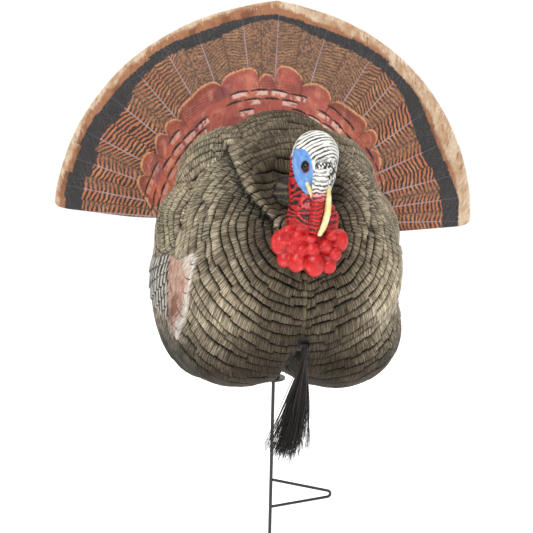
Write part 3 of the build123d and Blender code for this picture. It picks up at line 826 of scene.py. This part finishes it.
def fan_print(bearing, radius):
    """Colours printed on the cloth, feather by feather."""
    reach = hem_reach(bearing)
    deep = reach - radius
    cell = np.searchsorted(QUILL_BORDERS, bearing).astype(float)
    lateral = np.radians(bearing - QUILLS[cell.astype(int)]) * radius
    luck = scatter(cell, 1)
    swept = np.abs(bearing)
    right = smooth(-5, 5, bearing)
    start = 16.5 + 5 * smooth(40, 5, swept)
    start = start + right * (3 + 10 * smooth(45, 60, bearing) * smooth(84, 72, bearing))
    width = 7 + 8 * smooth(3, 16, swept) + 11 * smooth(36, 56, swept)
    start = start + 5 * (luck - 0.5) + 1.6 * frayed(bearing, radius, 2.4, 17)
    end = start + width + 5 * (scatter(cell, 2) - 0.5)
    end = end + 1.2 * frayed(bearing, radius, 1.6, 19)

    edge, scallop, across = covert_edge(bearing)
    colours = web_colours(bearing, radius, deep, lateral, cell, luck)
    border = np.abs(bearing[:, None] - QUILL_BORDERS[None, :]).min(axis=1)
    colours = mix(colours, (70, 52, 44), 0.55 * smooth(1.6, 0.5, np.radians(border) * radius))
    black = smooth(end + 0.5, end - 0.5, deep)
    cover = mix(BLACK, (70, 68, 74), 0.5 * smooth(0.15, 0.5, frayed(bearing, radius, 2.0, 21)))
    colours = mix(colours, cover, black)
    half_width = mix(0.95, 0.4, smooth(180, 300, radius))
    quill = smooth(half_width + 0.45, half_width - 0.25, np.abs(lateral))
    quill = quill * smooth(edge - 2, edge + 2, radius)
    colours = mix(colours, mix((162, 144, 152), (78, 74, 82), black), quill)
    tip = tip_colours(bearing, radius, deep, luck)
    colours = mix(tip, colours, smooth(start - 0.5, start + 0.5, deep))
    inset = edge - radius
    coverts = covert_colours(bearing, radius, inset, scallop, across)
    ragged = inset + 2.4 * frayed(bearing, radius, 1.4, 23)
    colours = mix(colours, coverts, smooth(-0.6, 0.6, ragged))
    return mix(colours, (60, 46, 40), 0.35 * smooth(7, 0, -inset) * (inset < 0))


def fan_cloth():
    """Printed polyester: matt, thin, with its weave just visible."""
    m = Nodes("fan_cloth", roughness=0.86, specular=0.1)
    paint = m.field("paint")
    weave = m.noise(m.place((1, 0.2, 1)), 1500, detail=1)
    grime = m.noise(m.place(), 260, detail=4)
    shade = m.blend(paint, (60, 44, 38), m.times(m.span(grime, 0.62, 0.38), 0.16))
    m.set("Base Color", m.blend(shade, (250, 238, 226), m.times(m.span(weave, 0.45, 0.8), 0.12)))
    m.set("Roughness", m.span(grime, 0.3, 0.7, 0.74, 0.9))
    m.bump(m.math("ADD", weave, m.times(grime, 0.6)), 0.35, 0.0006)
    return m.material


def gore_grid(side, count):
    """Bearing, radius and fold weight of one gore's points, row by row outwards."""
    inner = FAN_TILT + side * RIB_STEP * (count - 1)
    outer = inner + side * RIB_STEP
    columns, rows = ((124, 232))
    s = np.linspace(0, 1, columns)
    t = np.linspace(0, 1, rows) ** 0.8
    s, t = (g.ravel() for g in np.meshgrid(s, t))
    bearing = inner + (outer - inner) * s
    reach = hem_reach(outer)
    radius = CLOTH_ROOT_R + (hem_reach(bearing) - CLOTH_ROOT_R) * t
    if count == RIBS_PER_SIDE:
        # a flap past the last rib, with a rounded corner
        flap = FLAP_WIDTH[side] * smooth(60, 230, radius) * smooth(reach + 60, reach - 10, radius)
        spread = 1 + np.degrees(flap / radius) / RIB_STEP
        bearing = inner + (outer - inner) * s * spread
        edge = np.maximum(CORNER_R - np.radians(RIB_STEP) * reach * (1 - s), 0)
        cut = CORNER_R - np.sqrt(np.maximum(CORNER_R**2 - np.square(edge), 0))
        radius = CLOTH_ROOT_R + (hem_reach(bearing) - cut - CLOTH_ROOT_R) * t
    fold = np.clip((bearing - inner) / (outer - inner), 0, 1)
    sag = np.sin(pi * fold)
    radius = radius - 2.2 * sag * smooth(0.7, 1, t)
    return bearing, radius, fold, rows, columns


def build_gore(side, count, cloth):
    """One panel of the fan between two ribs, with the pocket of its outer rib."""
    word = WORD[side]
    outer_body = f"fan_{word}_{count}"
    bearing, radius, fold, rows, columns = gore_grid(side, count)
    turn = np.radians(bearing)
    x, z = FAN_ROOT[0] + radius * np.sin(turn), FAN_ROOT[1] + radius * np.cos(turn)
    # ahead of every rib near the hub, where closed ribs overlap, and on its own ribs further out
    front = mix(layer_y(side, count - 1), layer_y(side, count), fold)
    front = mix(RIB_FRONT_Y, front, smooth(120, 200, radius)) - 0.7
    spot = np.stack([x, z], 1)
    sag = np.sin(pi * fold) * smooth(150, 310, radius)
    front = front - sag * (2.6 + 2.2 * (layers(spot, 60, 91) - 0.5))
    front = front - 0.5 * sag * np.sin(radius / 13 + 5 * layers(spot, 70, 93))
    colours = fan_print(bearing, radius)
    back = mix(colours, (150, 128, 112), 0.62)
    top = np.stack([x, front, z], 1)
    under = top + np.array((0, CLOTH_THICK, 0))
    size = len(top)
    faces = grid_faces(rows, columns)
    if side > 0:
        faces = faces[:, ::-1]
    grid = np.arange(size).reshape(rows, columns)
    rim = np.concatenate([grid[0], grid[1:, -1], grid[-1, -2::-1], grid[-2:0:-1, 0]])
    after = np.roll(rim, -1)
    walls = np.stack([rim, after, after + size, rim + size], 1)
    if side < 0:
        walls = walls[:, ::-1]
    panel = make_object(
        f"fan_gore_{word}_{count}",
        np.concatenate([top, under]),
        np.concatenate([faces, faces[:, ::-1] + size, walls]),
        cloth,
        None,
        np.concatenate([colours, back]),
    )
    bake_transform(panel)
    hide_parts(f"fan_cloth_{word}_{count}")
    pockets = [rib_pocket(side, count, outer_body, cloth)]
    if count == 1 and side > 0:
        pockets.append(rib_pocket(side, 0, "fan_mast", cloth))


def rib_node(side, count):
    """CAD node of a rib."""
    if count == 0:
        return "fan_rib_centre"
    return f"fan_rib_{WORD[side]}_{count}"


def rib_pocket(side, count, body, cloth):
    """Strip of cloth sewn over the back of a rib."""
    aim = radians(FAN_TILT + side * RIB_STEP * count)
    rows, columns = 90, 13
    radius, across = np.meshgrid(
        np.linspace(*POCKET_SPAN, rows), np.linspace(-1, 1, columns), indexing="ij"
    )
    radius, across = radius.ravel(), across.ravel()
    front = float(layer_y(side, count))
    arch = smooth(1.0, 0.72, np.abs(across))
    pucker = 0.05 * np.sin(radius / 2.6 + 3 * across) * (1 - arch)
    y = front + POCKET_GAP + arch * (RIB_THICK + POCKET_GAP / 2) + pucker
    offset = across * (POCKET_HALF + 0.25 * np.sin(radius / 7))
    x = FAN_ROOT[0] + radius * sin(aim) + offset * cos(aim)
    z = FAN_ROOT[1] + radius * cos(aim) - offset * sin(aim)
    stitch = smooth(0.1, 0.05, np.abs(np.abs(across) - 0.84)) * (np.sin(radius * 2.4) > -0.2)
    cloud = noise(np.stack([offset, radius], 1), 6, 3)
    colours = coats((132, 108, 92), ((108, 88, 76), cloud), ((60, 50, 44), 0.8 * stitch))
    name = "fan_pocket_centre" if count == 0 else f"fan_pocket_{WORD[side]}_{count}"
    points, faces = np.stack([x, y, z], 1), grid_faces(rows, columns)
    strip = make_object(name, points, faces, cloth, body, colours)
    return strip


def build_fan():
    """Eight gores between nine ribs."""
    cloth = fan_cloth()
    for side in (1, -1):
        for count in range(1, RIBS_PER_SIDE + 1):
            build_gore(side, count, cloth)


build_fan()


# ---- head -----------------------------------------------------------------

SKULL = np.array((14.0, -207.0, 548.0))
CHIN = np.array((3.0, -243.0, 440.0))
FACE_TURN = radians(27)
FACE = np.array((sin(FACE_TURN), -cos(FACE_TURN), 0.0))
FACE_SIDE = np.array((cos(FACE_TURN), sin(FACE_TURN), 0.0))
EYE_FORWARD, EYE_OUT, EYE_DROP = 17.0, 26.5, -12.0
FAR_EYE_BACK, FAR_EYE_IN = 10.0, 4.0
HEAD_SEAT = 8.5
WATTLE_SOFTNESS = 3.0
# skull, muzzle, neck and throat: centre, half sizes and how softly each one joins
HEAD_LOBES = [
    ((14, -206, 548), (28, 33, 29.5), 0),
    ((16, -224, 529), (20, 20, 25), 9),
    ((19, -234, 514), (10, 12, 17), 7),
    ((7, -198, 522), (22, 25, 34), 12),
    ((7, -211, 498), (23, 22, 34), 12),
    ((8, -222, 470), (30, 22, 28), 12),
    ((22, -232, 468), (17, 15, 24), 8),
    ((3, -243, 443), (36, 19, 26), 10),
]
# wattles: centre and half sizes
WATTLES = [
    ((-34, -252, 448), (11, 13, 15)),
    ((-29, -256, 429), (9, 10, 10)),
    ((-15, -261, 427), (11, 11, 13)),
    ((6, -264, 424), (12, 11, 15)),
    ((24, -260, 422), (9, 9, 10)),
    ((30, -258, 435), (9, 9, 9)),
    ((38, -251, 450), (10, 11, 14)),
    ((18, -263, 445), (8, 8, 9)),
    ((3, -265, 442), (9, 8, 8)),
    ((-10, -263, 441), (8, 8, 8)),
    ((-14, -258, 455), (9, 8, 8)),
    ((-22, -259, 445), (7, 8, 9)),
    ((0, -262, 454), (8, 7, 6)),
    ((26, -257, 457), (8, 8, 7)),
    ((-24, -246, 461), (9, 9, 7)),
]
BLACK_PAINT = (22, 24, 26)
RED_PAINT = (188, 18, 20)
WHITE_PAINT = (232, 230, 222)
BLUE_PAINT = (92, 140, 204)
BEAK_PAINT = (228, 208, 138)


def head_field(points):
    """Signed distance, roughly, to the whole head."""
    total = joined_field(points, HEAD_LOBES + [(*ball, WATTLE_SOFTNESS) for ball in WATTLES])
    along, off_axis = neck_frame(points)
    foot = np.stack([off_axis, along - HEAD_SEAT, 0 * along], 1)
    total = soft_union(total, ellipsoid_field(foot, (0, 0, 0), (32.5, 15, 32.5)), 12)
    for sign in (-1, 1):
        brow = eye_place(sign) - 5.5 * sign * FACE_SIDE - 3 * FACE
        total = soft_union(total, ellipsoid_field(points, brow, (7, 7, 9)), 5)
    return total


def eye_place(sign):
    """Centre of an eye; sign is 1 on the bird's left, where it sits a little further back."""
    far = sign > 0
    ahead, out = EYE_FORWARD - FAR_EYE_BACK * far, EYE_OUT - FAR_EYE_IN * far
    return SKULL + ahead * FACE + sign * out * FACE_SIDE + np.array((0, 0, EYE_DROP))


def head_rays():
    """Centres and directions that sweep the head from crown to chin."""
    scale = 1.0
    around = int(270 / scale)
    caps, middle = int(58 / scale), int(124 / scale)
    lift = np.concatenate([
        np.linspace(pi / 2, 0, caps), np.zeros(middle), np.linspace(0, -pi / 2, caps)
    ])
    path = np.concatenate([np.zeros(caps), np.linspace(0, 1, middle), np.ones(caps)])
    turn = np.linspace(0, 2 * pi, around, endpoint=False)
    bend = np.stack([8 * np.sin(pi * path), 14 * np.sin(pi * path), 0 * path], 1)
    centres = SKULL + (CHIN - SKULL) * path[:, None] + bend * np.array((0.3, 1, 0))
    flat = np.stack([np.sin(turn), -np.cos(turn), 0 * turn], 1)
    rays = flat[None] * np.cos(lift)[:, None, None] + UP * np.sin(lift)[:, None, None]
    origins = np.repeat(centres[:, None], around, 1)
    return origins.reshape(-1, 3), rays.reshape(-1, 3), len(lift), around


def head_relief(points):
    """Relief in millimetres and paint for the skin of the head."""
    x, y, z = points.T
    local = points - SKULL
    ahead, out = local @ FACE, local @ FACE_SIDE
    swing = np.degrees(np.arctan2(np.abs(out), ahead)) - 14 * (out > 0)
    wobble = layers(points, 18, 101) - 0.5
    fine = layers(points, 3.2, 103)

    # wrinkles of the neck: raised red folds with black between them
    folds = (z + 20 * wobble + 0.10 * (x - 5) + 0.12 * (y + 220)) / 6.8
    wave = np.sin(2 * pi * folds)
    broken = layers(points * np.array((0.9, 0.9, 1.4)), 5, 105)
    neck = smooth(462, 474, z + 6 * wobble) * smooth(556, 546, z)
    groove = smooth(0.0, 0.45, wave + 3.6 * (broken - 0.5))
    relief = neck * (1.5 * (1 - groove) - 0.3 + 0.8 * (fine - 0.5))
    paint = coats(
        RED_PAINT,
        ((150, 16, 20), smooth(0.55, 0.85, layers(points, 7, 107))),
        ((236, 74, 70), 0.6 * smooth(0.55, 0.8, fine) * neck),
        (BLACK_PAINT, groove * neck),
    )

    # wattles: painted shade in the clefts between the balls, and painted highlights on them
    low = 1 - neck
    balls = np.sort(np.stack([ellipsoid_field(points, *ball) for ball in WATTLES]), axis=0)
    painted_valley_shade = low * smooth(2.6, 0.4, balls[1] - balls[0]) * smooth(464, 452, z)
    marks = smooth(0.66, 0.72, layers(points * np.array((1, 1, 0.6)), 4, 123))
    marks *= smooth(448, 458, z) * smooth(6, 16, x)
    paint = coats(
        paint,
        ((120, 8, 14), low * smooth(0.6, 0.86, layers(points, 5, 109)) * 0.35),
        # painted highlights on the balls
        ((238, 84, 84), low * 0.45 * smooth(0.5, 0.8, layers(points, 6, 121)) * (1 - painted_valley_shade)),
        # painted shade in the clefts
        ((92, 6, 12), 0.7 * painted_valley_shade * smooth(0.3, 0.6, layers(points, 9, 125))),
        (BLACK_PAINT, 0.9 * low * marks),
    )
    relief += low * 0.5 * (fine - 0.5)

    # white crown and forehead with black wrinkles
    front = smooth(60, 52, swing + 20 * wobble)
    crest = smooth(545, 549, z + 6 * wobble - 0.05 * ahead)
    white = np.maximum(crest, front * smooth(501, 506, z + 3 * wobble))
    arcs = (np.hypot(0.85 * out, z - 524) - 0.5 * ahead + 6 * wobble) / 5.2
    ragged = 2.4 * (layers(points * np.array((0.5, 1, 1)), 6, 111) - 0.56)
    crease = smooth(0.20, 0.5, np.sin(2 * pi * arcs) + ragged) * smooth(540, 547, z)
    dots = smooth(0.46, 0.5, layers(points * np.array((1.1, 1.1, 0.9)), 2.2, 113))
    dots *= smooth(48, 34, swing + 14 * wobble) * smooth(550, 538, z + 8 * wobble)
    crown = mix(WHITE_PAINT, (196, 190, 178), smooth(0.5, 0.9, layers(points, 9, 115)))
    crown = mix(crown, BLACK_PAINT, np.maximum(crease, dots))
    paint = mix(paint, crown, white)
    relief = mix(relief, 0.5 * (fine - 0.5) - 0.8 * crease - 0.3 * dots, white)

    # blue skin round each eye
    height = z - 534
    above = height > 0
    taper = np.where(above, 35 - 0.15 * height, 36 + 0.5 * height)
    forward = (swing - 79 - np.where(above, 0.2, 1.15) * height) / np.maximum(taper, 6)
    shape = np.abs(forward) ** 3.4
    shape += np.abs(height / np.where(above, 22, 30)) ** np.where(above, 4.0, 3.0)
    blue = smooth(1.14, 0.98, shape + 0.7 * wobble) * (ahead > -18)
    blue = blue * smooth(39, 42, swing + 8 * wobble)
    skin = mix(BLUE_PAINT, (128, 170, 222), smooth(0.4, 0.8, layers(points, 6, 117)))
    skin = mix(skin, (58, 92, 160), 0.6 * smooth(0.6, 0.9, fine))
    paint = mix(paint, skin, blue)
    relief = mix(relief, 0.7 * (fine - 0.5) + 0.3, blue)
    rim = smooth(0.12, 0.05, np.abs(shape + 0.7 * wobble - 1.12)) * smooth(545, 530, z)
    paint = mix(paint, BLACK_PAINT, 0.65 * rim * (ahead > -10))

    # the neck's foot is painted like the plumage round it
    foot = smooth(27, 23, neck_frame(points)[0] + 5 * wobble) * smooth(-218, -208, y)
    barbs = smooth(-0.2, 0.6, np.sin(2 * pi * (z + 10 * wobble) / 9))
    feathers = mix((34, 31, 27), (104, 95, 76), barbs * smooth(0.3, 0.7, fine))
    paint = mix(paint, feathers, foot)
    return relief, paint


def rubber_paint(name, rough=0.32):
    """Glossy paint on soft moulded rubber."""
    m = Nodes(name, roughness=rough, specular=0.35)
    paint = m.field("paint")
    mottle = m.noise(m.place(), 520, detail=4)
    brush = m.noise(m.place((1, 1, 2.6)), 240, detail=3)
    worn = m.blend(paint, (12, 10, 10), m.times(m.span(mottle, 0.42, 0.26), 0.35))
    m.set("Base Color", m.blend(worn, (255, 246, 238), m.times(m.span(brush, 0.62, 0.82), 0.18)))
    m.set("Roughness", m.span(mottle, 0.3, 0.7, rough - 0.06, rough + 0.16))
    m.set("Coat Weight", 0.12)
    m.set("Coat Roughness", 0.18)
    m.bump(m.math("ADD", mottle, brush), 0.4, 0.0007)
    return m.material


def tube(path, radii, rows, columns, flatten=1.0):
    """Closed round tube along a smooth path, as points and faces; both ends taper shut."""
    path, radii = np.asarray(path, float), np.asarray(radii, float)
    knots = np.linspace(0, 1, len(path))
    t = (1 - np.cos(np.linspace(0, pi, rows))) / 2
    centre = np.stack([ease(t, knots, path[:, k]) for k in range(3)], 1)
    width = ease(t, knots, radii)
    ahead = np.gradient(centre, axis=0)
    ahead /= np.linalg.norm(ahead, axis=1, keepdims=True)
    across = np.cross(ahead, np.array((0.0, 1, 0.3)))
    across /= np.linalg.norm(across, axis=1, keepdims=True)
    deep = np.cross(ahead, across)
    close = np.sqrt(np.clip(1 - np.square(np.clip((t - 0.93) / 0.07, 0, 1)), 0, 1))
    width = width * np.maximum(close, 0.02)
    turn = np.linspace(0, 2 * pi, columns, endpoint=False)
    ring = across[:, None] * np.cos(turn)[None, :, None]
    ring = ring + deep[:, None] * (flatten * np.sin(turn))[None, :, None]
    points = centre[:, None] + ring * width[:, None, None]
    return points.reshape(-1, 3), grid_faces(rows, columns, wrap=True)


def ease(t, knots, values):
    """Smooth curve through a few values."""
    fine = np.linspace(0, 1, 400)
    line = np.interp(fine, knots, values)
    width = 45
    before, after = 2 * line[0] - line[width:0:-1], 2 * line[-1] - line[-2:-width - 2:-1]
    padded = np.concatenate([before, line, after])
    kernel = np.hanning(2 * width + 1)
    return np.interp(t, fine, np.convolve(padded, kernel / kernel.sum(), "valid"))


def outward(points, faces):
    """Normals that point away from a closed mesh's middle."""
    normals = point_normals(points, faces)
    middle = points.mean(axis=0)
    if ((points - middle) * normals).sum() < 0:
        normals = -normals
    return normals


def build_head():
    """Painted rubber head with its snood, beak and eyes."""
    rubber = rubber_paint("head_rubber_paint")
    origins, rays, rows, around = head_rays()
    points = cast(head_field, origins, rays, (0.0, 80.0), 15)
    faces = grid_faces(rows, around, wrap=True)
    normals = outward(points, faces)
    relief, paint = head_relief(points)
    points = points + normals * relief[:, None]
    along, off_axis = neck_frame(points)
    # the foot of the neck ends flat on the collar
    lift = np.maximum(HEAD_SEAT - along, 0) * smooth(37, 33, off_axis)
    points = points + lift[:, None] * NECK_AXIS
    skin = make_object("head_skin", points, faces, rubber, "head", paint)
    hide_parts("head_shell")

    # snood, hanging from the forehead over the beak
    snood, faces = tube(
        [(16, -236, 530), (12, -248, 512), (9, -256, 494), (6, -260, 478), (3, -263, 459)],
        [9.5, 8.2, 7.0, 6.6, 6.2], 150, 64,
    )
    wobble = layers(snood, 7, 131) - 0.5
    z = snood[:, 2]
    wave = np.sin(2 * pi * (z + 7 * wobble) / 4.6)
    bars = smooth(-0.1, 0.4, wave + 2.2 * (layers(snood, 4, 133) - 0.5))
    red = smooth(509, 500, z + 6 * wobble)
    paint = coats(
        mix(WHITE_PAINT, RED_PAINT, red),
        ((232, 120, 124), smooth(8, 0, np.abs(z - 504)) * 0.7),
        (BLACK_PAINT, bars * (0.95 - 0.3 * smooth(0.3, 0.6, noise(snood, 9, 135)))),
    )
    snood = snood + outward(snood, faces) * (1.1 * (1 - bars) - 0.3)[:, None]
    fleshy = make_object("snood", snood, faces, rubber, "head", paint)

    # beak: the long upper blade and the corner of the lower one
    horn = rubber_paint("beak_paint", rough=0.4)
    blades = {
        "beak_upper": (
            [(22, -236, 516), (22.5, -249, 501), (21, -258, 485), (16, -263, 470), (9, -265, 458)],
            [4.4, 4.1, 3.9, 3.7, 3.1], 1.3,
        ),
        "beak_lower": ([(-2, -241, 518), (1, -245, 510), (5, -248, 499)], [2.0, 2.6, 1.6], 1.0),
    }
    for name, (path, radii, flatten) in blades.items():
        blade, faces = tube(path, radii, 90, 40, flatten)
        blade = blade + outward(blade, faces) * (0.5 * (layers(blade, 4, 141) - 0.5))[:, None]
        paint = coats(
            BEAK_PAINT,
            ((240, 230, 190), smooth(0.45, 0.8, layers(blade, 5, 143))),
            ((120, 96, 52), 0.6 * smooth(0.62, 0.85, layers(blade, 2.6, 145))),
        )
        make_object(name, blade, faces, horn, "head", paint)

    for sign in (-1, 1):
        build_eye(sign, rubber)


def build_eye(sign, rubber):
    """Glossy dark eye with its iris and a red lid round it."""
    word, centre = WORD[sign], eye_place(sign)
    look = sign * FACE_SIDE * 0.93 + FACE * 0.36
    look /= np.linalg.norm(look)
    side = np.cross(np.array((0, 0, 1.0)), look)
    side /= np.linalg.norm(side)
    up = np.cross(look, side)
    directions, faces = cube_sphere(22)
    ball = (centre + directions[:, :1] * side * 4.6 + directions[:, 1:2] * up * 6.0
            + directions[:, 2:] * look * 5.0)
    off = np.hypot(directions[:, 0], directions[:, 1])
    paint = coats(
        (4, 4, 4),
        ((40, 22, 14), smooth(0.55, 0.62, off) * smooth(0.9, 0.8, off)),
        ((4, 4, 5), smooth(0.8, 0.88, off)),
        ((80, 56, 34), 0.3 * smooth(0.6, 0.9, noise(ball, 0.8, 151)) * smooth(0.56, 0.7, off)),
    )
    gloss = Nodes(f"eye_gloss_{word}", roughness=0.12, specular=0.25)
    tint = gloss.noise(gloss.place(), 700, detail=2)
    fleck = gloss.times(gloss.span(tint, 0.5, 0.8), 0.2)
    gloss.set("Base Color", gloss.blend(gloss.field("paint"), (60, 36, 20), fleck))
    gloss.set("Coat Weight", 0.35)
    gloss.set("Coat Roughness", 0.03)
    eye = make_object(f"eye_ball_{word}", ball, faces, gloss.material, "head", paint)
    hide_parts(f"eye_{word}")

    rows, columns = 64, 14
    circles = (np.linspace(0, 2 * pi, count, endpoint=False) for count in (rows, columns))
    turn, around = (g.ravel() for g in np.meshgrid(*circles, indexing="ij"))
    thick = 0.85 + 0.3 * np.sin(turn - 0.6)
    wide = 4.9 + thick * np.cos(around)
    tall = 6.6 + thick * np.cos(around)
    lid = (centre + look * 2.4 + (wide * np.cos(turn))[:, None] * side
           + (tall * np.sin(turn))[:, None] * up + (thick * np.sin(around))[:, None] * look)
    first = np.arange(columns)
    last = first + (rows - 1) * columns
    seam = np.stack([last, np.roll(last, -1), np.roll(first, -1), first], 1)
    quads = np.concatenate([grid_faces(rows, columns, wrap=True), seam])
    low = smooth(0.2, -0.5, np.sin(turn) + 0.4 * sign * np.cos(turn))
    paint = mix((24, 16, 20), (188, 44, 42), low * smooth(0.7, 0.45, layers(lid, 2.6, 155)))
    make_object(f"eyelid_{word}", lid, quads, rubber, "head", paint)


build_head()


# ---- beard ----------------------------------------------------------------

BEARD_ROOT = np.array((0.0, -247.0, 303.0))
STRANDS = 430
BEARD_LENGTH = 123


def build_beard():
    """Coarse black bristles fanning out of the ferrule."""
    rng = np.random.default_rng(41)
    rows, columns = 18, 4
    t = np.linspace(0, 1, rows)
    turn = np.linspace(0, 2 * pi, columns, endpoint=False)
    points, faces, shades, strand = [], [], [], []
    for number in range(STRANDS):
        spread = float(np.clip(rng.normal(0, 0.42), -0.95, 0.95))
        tip = np.array((
            -20 + 28 * spread,
            rng.normal(0, 4.2),
            -BEARD_LENGTH + 11 * abs(spread) + rng.normal(0, 4.5),
        ))
        if number % 9 == 0:
            tip *= rng.uniform(0.72, 0.95)
        start = np.array((3.0 * spread + rng.normal(0, 0.7), rng.normal(0, 1.3), 0.0))
        bow = np.clip(rng.normal(0, 2.6, 3), -5, 5) * np.array((1, 0.6, 0))
        wave = rng.uniform(0, 6, 2)
        curl = np.stack([np.sin(7 * t + wave[0]), np.cos(6 * t + wave[1]), 0 * t], 1)
        path = (BEARD_ROOT + start + tip * np.stack([t**1.22, t, t], 1)
                + bow * np.sin(pi * t)[:, None] + 0.7 * curl * t[:, None])
        width = rng.uniform(0.42, 0.62) * (1 - 0.72 * t**2)
        ring = np.stack([np.cos(turn), np.sin(turn), 0 * turn], 1)
        points.append((path[:, None] + ring[None] * width[:, None, None]).reshape(-1, 3))
        faces.append(grid_faces(rows, columns, wrap=True) + number * rows * columns)
        shade = mix((12, 11, 11), (52, 42, 34), rng.uniform(0, 1) ** 3)
        shades.append(np.tile(shade, (rows * columns, 1)))
        strand.append(np.full(rows * columns, rng.uniform(0, 1)))
    m = Nodes("beard_bristle", roughness=0.34, specular=0.4)
    streak = m.noise(m.place((1, 1, 0.12)), 900, detail=2)
    paint = m.field("paint")
    m.set("Base Color", m.blend(paint, (70, 58, 46), m.times(m.span(streak, 0.55, 0.8), 0.3)))
    m.set("Roughness", m.span(streak, 0.3, 0.7, 0.26, 0.46))
    m.bump(streak, 0.3, 0.0002)
    beard = make_object(
        "beard_hair", np.concatenate(points), np.concatenate(faces), m.material, "beard",
        np.concatenate(shades), strand=np.concatenate(strand),
    )
    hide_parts("beard_bristles")


build_beard()


# ---- finishes of the CAD pieces -------------------------------------------


def height_of(m):
    """Height above the ground, in metres, as a socket."""
    return m.make("ShaderNodeSeparateXYZ", "Z", {0: m.make("ShaderNodeTexCoord", "Object", {})})


def coated_steel():
    """Black powder coat, scratched to bare steel at the point."""
    m = Nodes("coated_steel", roughness=0.42, specular=0.5)
    grain = m.noise(m.place(), 900, detail=2)
    scuff = m.noise(m.place((1, 1, 0.18)), 260, detail=4)
    black = m.blend((18, 18, 20), (44, 44, 47), m.span(grain, 0.35, 0.75))
    bare = m.times(m.span(height_of(m), -0.12, -0.175), m.span(scuff, 0.42, 0.55))
    m.set("Base Color", m.blend(black, (150, 148, 142), bare))
    m.set("Metallic", bare)
    m.set("Roughness", m.span(scuff, 0.3, 0.7, 0.32, 0.52))
    m.bump(grain, 0.3, 0.0003)
    return m.material


def moulded_plastic(name, low, high, rough=0.5):
    """Moulded plastic with a fine spark grain and slight wear."""
    m = Nodes(name, roughness=rough, specular=0.4)
    grain = m.noise(m.place(), 1400, detail=3)
    cloud = m.noise(m.place(), 60, detail=4)
    body = m.blend(low, high, m.span(cloud, 0.3, 0.7))
    m.set("Base Color", m.blend(body, (128, 122, 108), m.times(m.span(grain, 0.62, 0.85), 0.18)))
    m.set("Roughness", m.span(cloud, 0.3, 0.7, rough - 0.08, rough + 0.1))
    m.bump(grain, 0.35, 0.0003)
    return m.material


def plated_metal(name, low, high, rough=0.32):
    """Plated steel with fine turning marks and dull spots."""
    m = Nodes(name, roughness=rough, metallic=1.0)
    marks = m.noise(m.place((1, 0.15, 1)), 1600, detail=2)
    spots = m.noise(m.place(), 420, detail=4)
    both = m.math("ADD", m.times(marks, 0.5), m.times(spots, 0.5))
    m.set("Base Color", m.blend(low, high, both))
    m.set("Roughness", m.span(spots, 0.3, 0.7, rough - 0.08, rough + 0.16))
    m.bump(marks, 0.25, 0.0002)
    return m.material


def rib_glass():
    """Pultruded glass-fibre strip with its strands showing."""
    m = Nodes("rib_glass", roughness=0.4, specular=0.5)
    strands = m.noise(m.place(), 700, detail=5, rough=0.75)
    cloud = m.noise(m.place(), 90, detail=3)
    dark = m.blend((30, 30, 32), (66, 64, 60), m.span(strands, 0.35, 0.7))
    m.set("Base Color", m.blend(dark, (92, 86, 74), m.times(m.span(cloud, 0.5, 0.8), 0.3)))
    m.set("Roughness", m.span(strands, 0.3, 0.7, 0.3, 0.5))
    m.bump(strands, 0.4, 0.0003)
    return m.material


def finish_nodes():
    """Give every CAD piece that stays in view its own finish."""
    bronze = moulded_plastic("bronze_plastic", (52, 46, 37), (84, 74, 58))
    black = moulded_plastic("black_plastic", (20, 20, 21), (38, 37, 36), 0.44)
    brown = moulded_plastic("brown_plastic", (44, 35, 29), (66, 52, 42))
    zinc = plated_metal("zinc_plate", (128, 128, 126), (190, 190, 186))
    dark_metal = plated_metal("dark_metal", (28, 27, 26), (58, 55, 52), 0.4)
    ribs = [rib_node(side, count) for side in WORD for count in range(1, RIBS_PER_SIDE + 1)]
    finishes = [
        (coated_steel(), ["stake_rod", "foot_step"]),
        (black, ["stake_cap", "belly_bush", "beard_bracket", "hub_cap"]),
        (bronze, ["neck_collar", "neck_plug"]),
        (brown, ["stake_sleeve", "fan_socket", "fan_mast"]),
        (zinc, ["collar_screws", "socket_screws", "head_screw", "hub_bolt", "hub_nut"]),
        (dark_metal, ["beard_ferrule", "beard_pin"]),
        (rib_glass(), ["fan_rib_centre", *ribs]),
    ]
    for material, names in finishes:
        for name in names:
            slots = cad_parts[name].data.materials
            slots.clear()
            slots.append(material)


finish_nodes()
